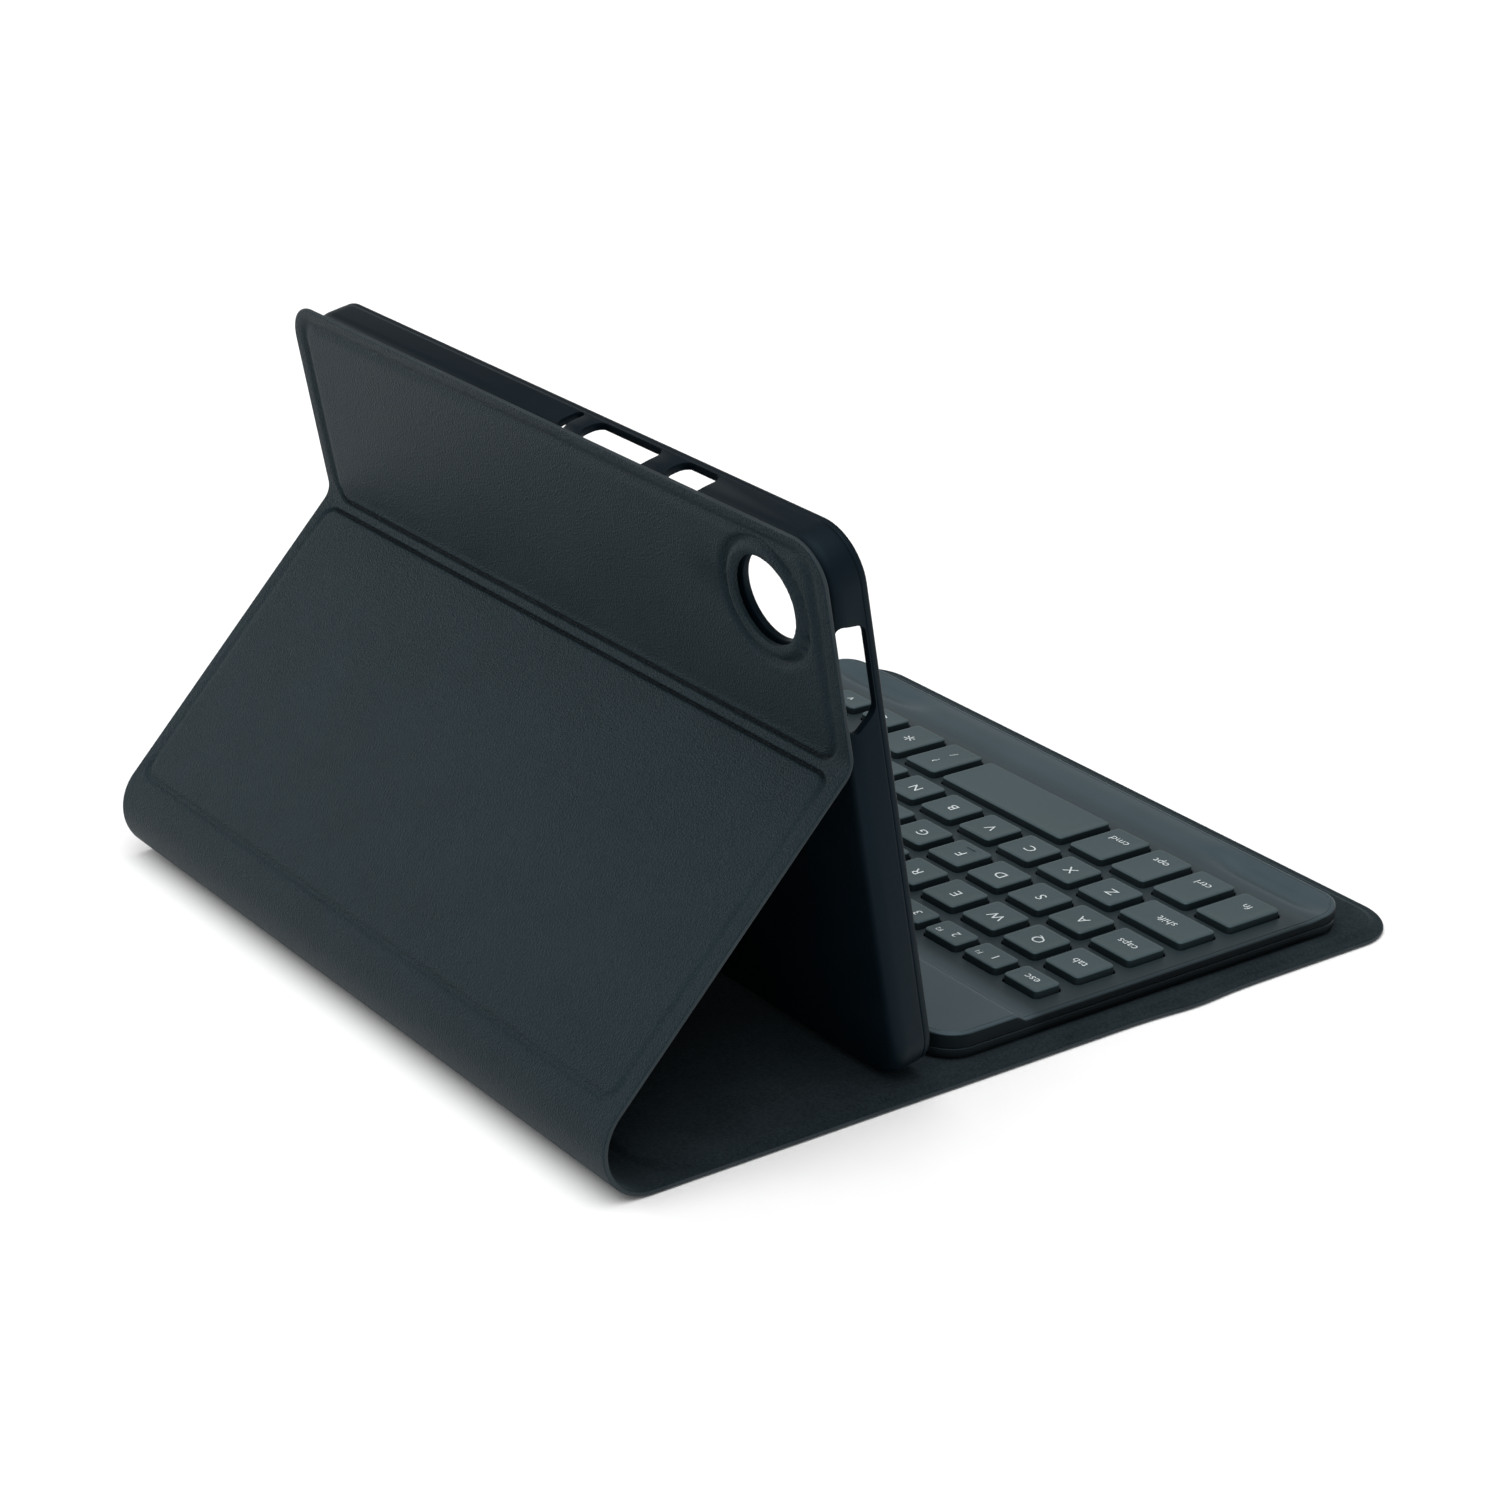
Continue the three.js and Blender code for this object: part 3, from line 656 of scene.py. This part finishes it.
def build_cover():
    mid = S_BEND + BEND_LEN / 2
    first = S_BEND - SPINE_LEAD
    rows = list(from_edge()[:-3]) + list(np.arange(9, 17, 0.8)) + grid_rows(
        17, first, [(BULGE_S, 22), (S_BEND - 5, 3)], 0.5, 10)
    base = cover_piece("cover_base", rows, first_closed=True)
    rows = list(np.linspace(first, S_BEND, 4)) + list(np.linspace(S_BEND, mid, 32))[1:]
    spine_a = cover_piece("cover_spine_rear", rows)
    rows = list(np.linspace(mid, S_LOWER, 32)) + list(np.linspace(S_LOWER, S_LOWER + SPINE_LEAD, 7))[1:]
    spine_b = cover_piece("cover_spine_rise", rows)
    crease_from, crease_to = S_CREASE - CREASE_REACH, S_CREASE + CREASE_REACH
    grooves = [(S_LOWER + GROOVE_AFTER_SPINE, 6), (S_CREASE - GROOVE_BEFORE_CREASE, 4)]
    lower = cover_piece("cover_lower", grid_rows(S_LOWER + SPINE_LEAD, crease_from, grooves, 0.4, 6))
    crease = cover_piece("cover_crease", list(np.linspace(crease_from, crease_to, 60)))
    upper_rows = list(np.arange(crease_to, S_TOP - 8.4, 0.55)) + list((S_TOP - from_edge()[:-3])[::-1])
    upper = cover_piece("cover_upper", upper_rows, last_closed=True)
    cap_open_end(upper)
    cut_with(upper, cylinder_on_panel("hole_cutter", HOLE_X, HOLE_S, HOLE_R, -3, 6))
    uncap(upper, crease_to)
    sharp_by_angle(upper, 60)

    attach(base, "base")
    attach(lower, "lower_panel")
    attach(upper, "upper_panel")
    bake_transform(spine_a)
    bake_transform(spine_b)
    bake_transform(crease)
    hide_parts("base_skin", "base_lining")
    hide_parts("spine_skin")
    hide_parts("spine_lining")
    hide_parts("lower_skin", "lower_lining")
    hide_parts("upper_skin", "upper_glue_sheet")
    build_board("board_base", 7.0, S_BEND - 7.5, 7.0, 9.0, "base", "base_board")
    build_board("board_lower", S_LOWER + 5, S_CREASE - 7.5, 7.5, 3.0, "lower_panel", "lower_board")
    build_board("board_upper", S_CREASE + 6.5, S_TOP - 7.5, 7.5, 4.0, "upper_panel", "upper_board")


# ---- the tray ----
def tray_ring(inset, h):
    points = rounded_rect(
        -TRAY_HALF_W + inset, TRAY_S[0] + inset, TRAY_HALF_W - inset, TRAY_S[1] - inset,
        TRAY_CORNER_R - inset, 14)
    return on_panel([(x, s, h) for x, s in points])


def slot_cutter(name, lo, hi, r, axis):
    """A round-cornered bar through the tray's top wall (axis 1) or its side wall (axis 0)."""
    (a0, h0), (a1, h1) = lo, hi
    outline = rounded_rect(a0, h0, a1, h1, r, 5)
    if axis == 0:  # both ends of the side slot spread towards the back
        reach = 6.0
        outline = [
            (a - SIDE_SLOPE * (h1 - h) * max(1 - (a - a0) / reach, 0)
             + TOP_SLOPE * (h1 - h) * max(1 - (a1 - a) / reach, 0), h)
            for a, h in outline]
    if axis == 1:
        span = (TRAY_S[1] - TRAY_WALL_T - 2.5, TRAY_S[1] + 3)
        rings = [[(a, depth, h) for a, h in outline] for depth in span]
    else:
        span = (-TRAY_HALF_W - 3, -TRAY_HALF_W + TRAY_WALL_T + 2.5)
        rings = [[(depth, a, h) for a, h in outline] for depth in span]
    verts, faces = loft([on_panel(ring) for ring in rings])
    cutter = make_object(name, verts, faces, (TRAY,))
    fix_normals(cutter)
    return cutter


def build_tray():
    back, front = TRAY_H
    rings = []
    for i in range(9):  # round back edge
        a = math.pi / 2 * i / 8
        rings.append(tray_ring(TRAY_ROUND * (1 - math.sin(a)), back + TRAY_ROUND * (1 - math.cos(a))))
    bead = 0.28
    rings.append(tray_ring(0, front - 2.6))
    rings.append(tray_ring(0.02, front - 2.2))
    rings.append(tray_ring(bead, front - 2.05))  # fine groove under the lip's bead
    rings.append(tray_ring(bead, front - 1.85))
    rings.append(tray_ring(0.04, front - 1.7))
    for i in range(7):  # round lip
        a = math.pi * i / 6
        rings.append(tray_ring(0.9 - 0.85 * math.cos(a), front - 0.8 + 0.8 * math.sin(a)))
    mouth = TRAY_WALL_T + TRAY_LIP_W
    rings.append(tray_ring(mouth - 0.3, front - 0.75))
    rings.append(tray_ring(mouth, front - TRAY_LIP_T + 0.1))
    rings.append(tray_ring(mouth - 0.2, front - TRAY_LIP_T - 0.15))
    rings.append(tray_ring(TRAY_WALL_T, front - TRAY_LIP_T - 0.5))
    floor = back + TRAY_BACK_T
    for i in range(5):  # round corner between the bay's wall and floor
        a = math.pi / 2 * i / 4
        rings.append(tray_ring(TRAY_WALL_T + 1.5 * (1 - math.cos(a)), floor + 1.5 * (1 - math.sin(a))))
    verts, faces = loft(rings)
    tray = make_object("tray", verts, faces, (TRAY,))
    fix_normals(tray)
    for i, (x0, x1) in enumerate(TOP_SLOTS):
        r = 1.2 if x1 - x0 < 5 else 2.8
        cut_with(tray, slot_cutter(f"top_cutter_{i}", (x0, SLOT_H[0]), (x1, SLOT_H[1]), r, 1))
    cut_with(tray, slot_cutter("side_cutter", (SIDE_SLOT[0], SLOT_H[0]), (SIDE_SLOT[1], SLOT_H[1]), 1.8, 0))
    cut_with(tray, cylinder_on_panel("camera_cutter", HOLE_X, HOLE_S, HOLE_R - 0.2, -1, 8))
    soften(tray, 0.3, 2, 42)
    sharp_by_angle(tray, 40)
    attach(tray, "upper_panel")
    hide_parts("tablet_tray")


# ---- the keyboard ----
def kb_ring(inset, z):
    return [(x, y, z) for x, y in rounded_rect(
        -KB_HALF_W + inset, KB_Y[0] + inset, KB_HALF_W - inset, KB_Y[1] - inset, KB_R - inset, 12)]


PORT = (9.35, 18.65, 3.75, 7.05)
SWITCH = (-7.65, 1.65, 3.75, 6.55)


def cut_side_openings(obj):
    for y0, y1, z0, z1 in (PORT, SWITCH):
        outline = rounded_rect(y0, z0, y1, z1, 0.9, 5)
        rings = [[(x, y, z) for y, z in outline] for x in (KB_HALF_W - KB_WALL - 1, KB_HALF_W + 1)]
        cutter = make_object("opening_cutter", *loft(rings), (CASE,))
        fix_normals(cutter)
        cut_with(obj, cutter)


def build_bottom_case():
    rings = []
    for i in range(6):  # round lower edge
        a = math.pi / 2 * i / 5
        rings.append(kb_ring(1.1 * (1 - math.sin(a)) + 0.12, KB_BOTTOM + 1.1 * (1 - math.cos(a))))
    rings += [kb_ring(0.05, KB_SPLIT - 0.35), kb_ring(0.3, KB_SPLIT), kb_ring(KB_WALL, KB_SPLIT)]
    rings += [kb_ring(KB_WALL, KB_BOTTOM + 1.0)]
    verts, faces = loft(rings)
    case = make_object("keyboard_bottom", verts, faces, (CASE,))
    fix_normals(case)
    cut_side_openings(case)
    sharp_by_angle(case, 40)
    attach(case, "keyboard")
    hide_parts("keyboard_bottom_case")


def kb_half_width(y):
    for end in (y - KB_Y[0], KB_Y[1] - y):
        if end < KB_R:
            return KB_HALF_W - KB_R + math.sqrt(max(KB_R ** 2 - (KB_R - end) ** 2, 0))
    return KB_HALF_W


def kb_edge_distance(x, y):
    mid, half = (KB_Y[0] + KB_Y[1]) / 2, (KB_Y[1] - KB_Y[0]) / 2
    dx, dy = np.abs(x) - (KB_HALF_W - KB_R), np.abs(y - mid) - (half - KB_R)
    return KB_R - np.hypot(np.maximum(dx, 0), np.maximum(dy, 0)) - np.minimum(np.maximum(dx, dy), 0)


def deck_height(x, y):
    """Top face: deck, slopes up to the bar and the front, a finger scoop at each front corner, round rim."""
    z = KB_DECK + (KB_BAR - KB_DECK) * ease((y - BAR_FROM) / BAR_RUN)
    z = z + FRONT_RISE * ease((FRONT_FROM - y) / FRONT_RUN)
    across = (np.abs(x) - SCOOP_X) / SCOOP_HALF_W
    along = (y - KB_Y[0] - SCOOP_IN) / SCOOP_REACH
    z = z - SCOOP_DEPTH * np.exp(-(across ** 4) - along ** 2)
    gap = kb_edge_distance(x, y)
    z = z - RIM_LINE_DEPTH * np.exp(-(((gap - RIM_LINE) / RIM_LINE_W) ** 2))  # fine line inside the rim
    t = np.clip(1 - gap / RIM_R, 0, 1)
    return z - RIM_R * (1 - np.sqrt(np.maximum(1 - t * t, 0)))


def shade_deck(case):
    """Give the deck's faces the normals of the surface that they were sampled from."""
    mesh = case.data
    step = 0.02
    at = np.array([v.co[:] for v in mesh.vertices]) / MM
    x, y = at[:, 0], at[:, 1]
    on_deck = (np.abs(at[:, 2] - deck_height(x, y)) < 0.02) & (kb_edge_distance(x, y) > 0.5)
    slope_x = (deck_height(x + step, y) - deck_height(x - step, y)) / (2 * step)
    slope_y = (deck_height(x, y + step) - deck_height(x, y - step)) / (2 * step)
    up = np.stack((-slope_x, -slope_y, np.ones(len(at))), axis=1)
    up /= np.linalg.norm(up, axis=1)[:, None]
    normals = [(0.0, 0.0, 0.0)] * len(mesh.loops)
    for face in mesh.polygons:
        if all(on_deck[i] for i in face.vertices):
            for loop, i in zip(face.loop_indices, face.vertices):
                normals[loop] = tuple(up[i])
    mesh.normals_split_custom_set(normals)


def build_top_case(keys):
    edge = np.concatenate((
        [0, 0.02, 0.07, 0.16, 0.3, 0.5, 0.75, 0.95, 1.1, 1.25, 1.4, 1.55, 1.8], np.arange(2.6, 13, 1.0)))
    inner = KB_HALF_W - edge[-1]
    middle = list(np.arange(-inner, -44, 2.0)) + [-20, 0, 20] + list(np.arange(inner, 44, -2.0))[::-1]
    middle = np.array(middle[1:-1])
    ys = list(KB_Y[0] + edge) + list(np.linspace(KB_Y[0] + 14, -8, 8))
    ys += list(np.arange(-2.4, 3.3, 0.4)) + [8] + list((KB_Y[1] - edge)[::-1])
    table = []
    for y in ys:
        w = kb_half_width(y)
        table.append(np.concatenate((-w + edge, middle * (w - edge[-1]) / inner, (w - edge)[::-1])))
    xs = np.array(table)
    yy = np.repeat(np.array(ys)[:, None], xs.shape[1], axis=1)
    zz = deck_height(xs, yy)
    rows, cols = xs.shape
    verts = [(xs[i, j], yy[i, j], zz[i, j]) for i in range(rows) for j in range(cols)]
    faces = [
        (i * cols + j, i * cols + j + 1, (i + 1) * cols + j + 1, (i + 1) * cols + j)
        for i in range(rows - 1) for j in range(cols - 1)]
    loop = [j for j in range(cols)] + [i * cols + cols - 1 for i in range(1, rows)]
    loop += [(rows - 1) * cols + j for j in range(cols - 2, -1, -1)]
    loop += [i * cols for i in range(rows - 2, 0, -1)]
    previous = loop
    mid_y, half_y = -41.0, 66.0
    for z, inset in ((KB_SPLIT + 0.45, 0.0), (KB_SPLIT + 0.1, 0.3)):
        ring = []
        for k in loop:
            x, y, _ = verts[k]
            ring.append(len(verts))
            verts.append((x * (1 - inset / KB_HALF_W), y - inset * (y - mid_y) / half_y, z))
        for k in range(len(loop)):
            n = (k + 1) % len(loop)
            faces.append((previous[k], ring[k], ring[n], previous[n]))
        previous = ring
    faces.append(tuple(previous[::-1]))
    case = make_object("keyboard_top", verts, faces, (CASE,))
    fix_normals(case)
    wells = []
    levels = ((KB_SPLIT - 1, KEY_CLEAR), (KB_DECK - 0.22, KEY_CLEAR), (KB_DECK + 0.3, KEY_CLEAR + 0.5))
    for key in keys:
        wells.append(loft([[(x, y, z) for x, y in key_outline(key, grow, 4)] for z, grow in levels]))
    verts, faces = [], []
    for more_verts, more_faces in wells:
        faces += [tuple(i + len(verts) for i in face) for face in more_faces]
        verts += more_verts
    cutter = make_object("well_cutter", verts, faces, (BLACK_PLASTIC_AND_KEY_SIDE_SHADE,))
    fix_normals(cutter)
    cut_with(case, cutter)
    cut_side_openings(case)
    sharp_by_angle(case, 40)
    shade_deck(case)
    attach(case, "keyboard")
    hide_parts("keyboard_top_case")


def side_rings(y0, y1, z0, z1, r, places):
    """Rings in planes across X: (x, inset) for each of the places."""
    return [
        [(x, y, z) for y, z in rounded_rect(y0 + i, z0 + i, y1 - i, z1 - i, max(r - i, 0.1), 6)]
        for x, i in places]


def build_port():
    """A pressed steel shell with a round lip, and the black tongue inside it."""
    outer, inner = KB_HALF_W - 0.25, KB_HALF_W - 5
    sheet = 0.42
    lip = ((outer - 0.15, 0), (outer, 0.12), (outer, 0.3), (outer - 0.2, sheet))
    shell = loft(side_rings(9.5, 18.5, 3.9, 6.9, 1.45, ((inner, 0), *lip, (inner + 0.6, sheet))))
    tip = ((outer - 0.9, 0), (outer - 0.7, 0.2))
    tongue = loft(side_rings(10.7, 17.3, 5.1, 5.7, 0.25, ((inner + 0.5, 0), *tip)))
    count = len(shell[0])
    faces = shell[1] + [tuple(i + count for i in face) for face in tongue[1]]
    slots = [0] * len(shell[1]) + [1] * len(tongue[1])
    port = make_object("port", shell[0] + tongue[0], faces, (STEEL, BLACK_PLASTIC_AND_KEY_SIDE_SHADE), slots)
    sharp_by_angle(port, 45)
    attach(port, "keyboard")
    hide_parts("charging_port")


def build_switch():
    """The slider's ribbed thumb piece on its carrier."""
    x = KB_HALF_W
    carrier = ((x - 4, 0.1), (x - 3.9, 0), (x - 1.9, 0), (x - 1.8, 0.1))
    parts = [loft(side_rings(-7, -2, 4.1, 6.2, 0.3, carrier))]
    thumb_piece = ((x - 2, 0), (x + 0.15, 0), (x + 0.3, 0.15))
    parts.append(loft(side_rings(-6.9, -4.1, 4.3, 6.0, 0.5, thumb_piece)))
    rib = ((x, 0), (x + 0.4, 0), (x + 0.5, 0.08))
    for y in (-6.2, -5.5, -4.8):
        parts.append(loft(side_rings(y - 0.16, y + 0.16, 4.55, 5.75, 0.12, rib)))
    verts, faces = [], []
    for more_verts, more_faces in parts:
        faces += [tuple(i + len(verts) for i in face) for face in more_faces]
        verts += more_verts
    slider = make_object("switch", verts, faces, (KEY_FACE,))
    sharp_by_angle(slider, 40)
    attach(slider, "power_switch")
    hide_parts("power_switch")


# ---- keys ----
ROW_Y = {1: (-17.85, -9.65), 2: (-35.25, -22.75), 3: (-51.75, -39.4), 4: (-68.65, -56.3), 5: (-90.8, -72.9)}
HALF_ROW = 8.2
SINGLE_KEYS = {1: 4, 2: 5, 3: 6, 4: 7, 5: 8}


def letter_row(number, first, first_end, letters, start, last):
    y0, y1 = ROW_Y[number]
    keys = [(first, -KEY_EDGE, first_end, y0, y1)]
    for i, name in enumerate(letters):
        x = start + i * LETTER_PITCH
        keys.append((name, x, x + LETTER_W, y0, y1))
    keys.append((last, start + len(letters) * LETTER_PITCH, KEY_EDGE, y0, y1))
    return keys


def key_layout():
    names = ["esc", *"1234567890", "minus", "back"]
    gap = 2.6
    pitch = (2 * KEY_EDGE + gap) / len(names)
    number_row = [
        (n, -KEY_EDGE + i * pitch, -KEY_EDGE + (i + 1) * pitch - gap, *ROW_Y[1])
        for i, n in enumerate(names)]
    y0, y1 = ROW_Y[5]
    wide = LETTER_W + 0.17
    bottom = [
        (n, -KEY_EDGE + i * (wide + 3.2), -KEY_EDGE + i * (wide + 3.2) + wide, y0, y1)
        for i, n in enumerate(("fn", "ctrl", "opt", "cmd"))]
    bottom.append(("space", -31.9, 16.0, y0, y1))

    def after(i):
        x = 19.2 + i * (LETTER_PITCH + 0.25)
        return x, x + LETTER_W

    bottom += [("slash", *after(0), y0, y1), ("light", *after(1), y0, y1)]
    bottom += [("left", *after(2), y0, y0 + HALF_ROW), ("down", *after(3), y0, y0 + HALF_ROW)]
    bottom += [("up", *after(3), y1 - HALF_ROW, y1)]
    bottom += [("right", KEY_EDGE - LETTER_W, KEY_EDGE, y0, y0 + HALF_ROW)]
    return {
        1: number_row,
        2: letter_row(2, "tab", -82.0, "qwertyuiop", -78.8, "backslash"),
        3: letter_row(3, "caps", -79.7, [*"asdfghjkl", "semicolon"], -76.5, "enter"),
        4: letter_row(4, "shift", -71.9, [*"zxcvbnm", "comma", "dot"], -68.7, "shift_right"),
        5: bottom,
    }


def key_outline(key, grow, steps):
    _, x0, x1, y0, y1 = key
    return rounded_rect(x0 - grow, y0 - grow, x1 + grow, y1 + grow, max(KEY_R + grow * 0.6, 0.3), steps)


# Generic marks: (text, size, across, up) with the place as a share of the key from its middle.
def key_marks(name):
    words = {
        "esc": "esc", "tab": "tab", "caps": "caps", "shift": "shift", "fn": "fn", "ctrl": "ctrl",
        "opt": "opt", "cmd": "cmd", "back": "del", "enter": "enter", "shift_right": "shift"}
    signs = {
        "minus": "-", "backslash": "\\", "semicolon": ";", "comma": ",", "dot": ".", "left": "<",
        "right": ">", "up": "^", "down": "v"}
    if name in words:
        return [(words[name], 2.9, 0.0, -0.18 if name in ("fn", "ctrl", "opt", "cmd") else 0.0)]
    if name == "slash":
        return [("?", 2.9, 0.0, 0.16), ("/", 2.9, 0.0, -0.2)]
    if name == "light":
        return [("*", 6.0, 0.0, -0.12)]
    if name in signs:
        return [(signs[name], 3.2, 0.0, 0.0)]
    if name == "space":
        return []
    if name.isdigit():
        return [(name, 2.9, -0.12, -0.02), ("F" + name, 1.7, 0.26, 0.16)]
    return [(name.upper(), 3.6, -0.05, 0.0)]


def mark_mesh(text, size, x, y, z):
    """Flat printed mark, centred at (x, y)."""
    curve = bpy.data.curves.new("mark", "FONT")
    curve.body = text
    curve.size = size * 1.25
    curve.resolution_u = 3
    curve.align_x = "CENTER"
    curve.align_y = "CENTER"
    obj = bpy.data.objects.new("mark", curve)
    bpy.context.scene.collection.objects.link(obj)
    graph = bpy.context.evaluated_depsgraph_get()
    mesh = bpy.data.meshes.new_from_object(obj.evaluated_get(graph))
    verts = [(x + v.co.x, y + v.co.y, z) for v in mesh.vertices]
    faces = [tuple(p.vertices) for p in mesh.polygons]
    bpy.data.objects.remove(obj)
    bpy.data.meshes.remove(mesh)
    bpy.data.curves.remove(curve)
    return verts, faces


def key_body(key):
    """Rings from the key's open foot up to its flat, slightly hollow face."""
    edge_r = 0.32
    rings = [[(x, y, KEY_BOTTOM) for x, y in key_outline(key, 0.0, 5)]]
    rings.append([(x, y, KEY_TOP - 0.9) for x, y in key_outline(key, -0.04, 5)])
    for i in range(4):
        a = math.pi / 2 * i / 3
        inset = 0.10 + edge_r * (1 - math.cos(a))
        rings.append([(x, y, KEY_TOP - edge_r * (1 - math.sin(a))) for x, y in key_outline(key, -inset, 5)])
    rings.append([(x, y, KEY_TOP - 0.03) for x, y in key_outline(key, -1.1, 5)])
    rings.append([(x, y, KEY_TOP - 0.09) for x, y in key_outline(key, -2.6, 5)])
    return rings


def build_keys(name, keys, node, body):
    verts, faces, slots = [], [], []

    def take(more_verts, more_faces, which):
        faces.extend(tuple(i + len(verts) for i in face) for face in more_faces)
        slots.extend(which)
        verts.extend(more_verts)

    for key in keys:
        rings = key_body(key)
        n = len(rings[0])
        key_verts, key_faces = loft(rings)
        # slot 0, the key's sides up to its rounded top edge, takes the darker copy of the key plastic:
        # painted shade
        which = [0 if k < n * 2 else 1 for k in range(n * (len(rings) - 1))] + [0, 1]
        take(key_verts, key_faces, which)
        label, x0, x1, y0, y1 = key
        cx, cy = (x0 + x1) / 2, (y0 + y1) / 2
        for text, size, across, up in key_marks(label):
            size = min(size, (y1 - y0) * 0.42)
            mark_verts, mark_faces = mark_mesh(
                text, size, cx + across * (x1 - x0), cy + up * (y1 - y0), KEY_TOP - 0.015)
            take(mark_verts, mark_faces, [2] * len(mark_faces))
        if label in ("f", "j"):
            ring = rounded_rect(cx - 1.7, y0 + 2.0, cx + 1.7, y0 + 2.6, 0.29, 4)
            low = [(x, y, KEY_TOP - 0.1) for x, y in ring]
            high = [(cx + (x - cx) * 0.92, y, KEY_TOP + 0.18) for x, y in ring]
            bar_verts, bar_faces = loft([low, high])
            take(bar_verts, bar_faces, [1] * len(bar_faces))
    obj = make_object(name, verts, faces, (BLACK_PLASTIC_AND_KEY_SIDE_SHADE, KEY_FACE, LEGEND), slots)
    sharp_by_angle(obj, 50)
    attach(obj, body)
    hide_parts(node)


def build_keyboard():
    layout = key_layout()
    build_bottom_case()
    build_port()
    build_switch()
    build_top_case([key for keys in layout.values() for key in keys])
    for number, keys in layout.items():
        single = SINGLE_KEYS[number]
        for key in keys[:single]:
            build_keys(f"cap_{key[0]}", [key], f"key_{key[0]}", f"key_{key[0]}")
        group = f"keys_row{number}_right"
        build_keys(f"caps_row{number}_right", keys[single:], group, group)


# ---- CAD pieces that stay, with their own finishes ----
def finish_cad_nodes():
    finishes = {
        STEEL: ("base_magnet_left", "base_magnet_right", "key_plate", "keyboard_magnet_left",
                "keyboard_magnet_right"),
        FILM: ("dome_sheet",),
        CELL: ("battery",),
        CIRCUIT: ("circuit_board",),
        LENS: ("status_light",),
    }
    for material, names in finishes.items():
        for name in names:
            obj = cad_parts[name]
            if not obj.material_slots:
                obj.data.materials.append(material)
            for place in obj.material_slots:
                place.material = material


# ---- stage ----
def build_stage():
    half = 6.0
    floor = make_object(
        "floor", [(x * half / MM, y * half / MM, -0.05) for x, y in ((-1, -1), (1, -1), (1, 1), (-1, 1))],
        [(0, 1, 2, 3)], (FLOOR,), smooth=False)

    world = bpy.data.worlds.new("studio")
    world.use_nodes = True
    nodes, links = world.node_tree.nodes, world.node_tree.links
    nodes["Background"].inputs["Color"].default_value = (1, 1, 1, 1)
    split = nodes.new("ShaderNodeSeparateXYZ")
    links.new(nodes.new("ShaderNodeTexCoord").outputs["Generated"], split.inputs[0])
    strength = spread(nodes, links, split.outputs["Z"], 1.0, 0.32, 0.03, 0.40)
    links.new(strength, nodes["Background"].inputs["Strength"])
    bpy.context.scene.world = world
    bpy.context.scene.view_settings.view_transform = "Standard"

    def area(name, at, towards, size, power):
        data = bpy.data.lights.new(name, "AREA")
        data.shape = "RECTANGLE"
        data.size, data.size_y = size
        data.energy = power
        light = bpy.data.objects.new(name, data)
        light.location = at
        light.rotation_euler = (Vector(towards) - Vector(at)).to_track_quat("-Z", "Y").to_euler()
        bpy.context.scene.collection.objects.link(light)

    area("rear_softbox", (-0.9, 1.3, 0.9), (0, 0.05, 0.06), (0.9, 0.9), 0.8)
    area("side_softbox", (1.5, 0.75, 0.6), (0, 0.05, 0.08), (0.5, 0.5), 7)
    key = bpy.data.lights.new("overhead_sky", "SUN")
    key.energy = 2.6
    key.angle = math.radians(60)
    overhead = bpy.data.objects.new("overhead_sky", key)
    overhead.rotation_euler = (math.radians(-14), math.radians(-10), 0)
    bpy.context.scene.collection.objects.link(overhead)


def build_camera():
    data = bpy.data.cameras.new("camera")
    data.sensor_width = 36
    data.lens = CAMERA_LENS
    data.clip_start, data.clip_end = 0.01, 50
    camera = bpy.data.objects.new("camera", data)
    az, el, roll = (math.radians(v) for v in (CAMERA_AZIMUTH, CAMERA_ELEVATION, CAMERA_ROLL))
    back = Vector((math.sin(az) * math.cos(el), -math.cos(az) * math.cos(el), math.sin(el)))
    right = (-back).cross(Vector((0, 0, 1))).normalized()
    up = back.cross(right)
    turned_right = right * math.cos(roll) + up * math.sin(roll)
    turned_up = up * math.cos(roll) - right * math.sin(roll)
    turn = Matrix((turned_right, turned_up, back)).transposed().to_4x4()
    camera.matrix_world = Matrix.Translation(CAMERA_AT) @ turn
    bpy.context.scene.collection.objects.link(camera)
    bpy.context.scene.camera = camera


build_camera()
build_stage()
build_cover()
build_tray()
build_keyboard()
finish_cad_nodes()

bpy.context.view_layer.update()
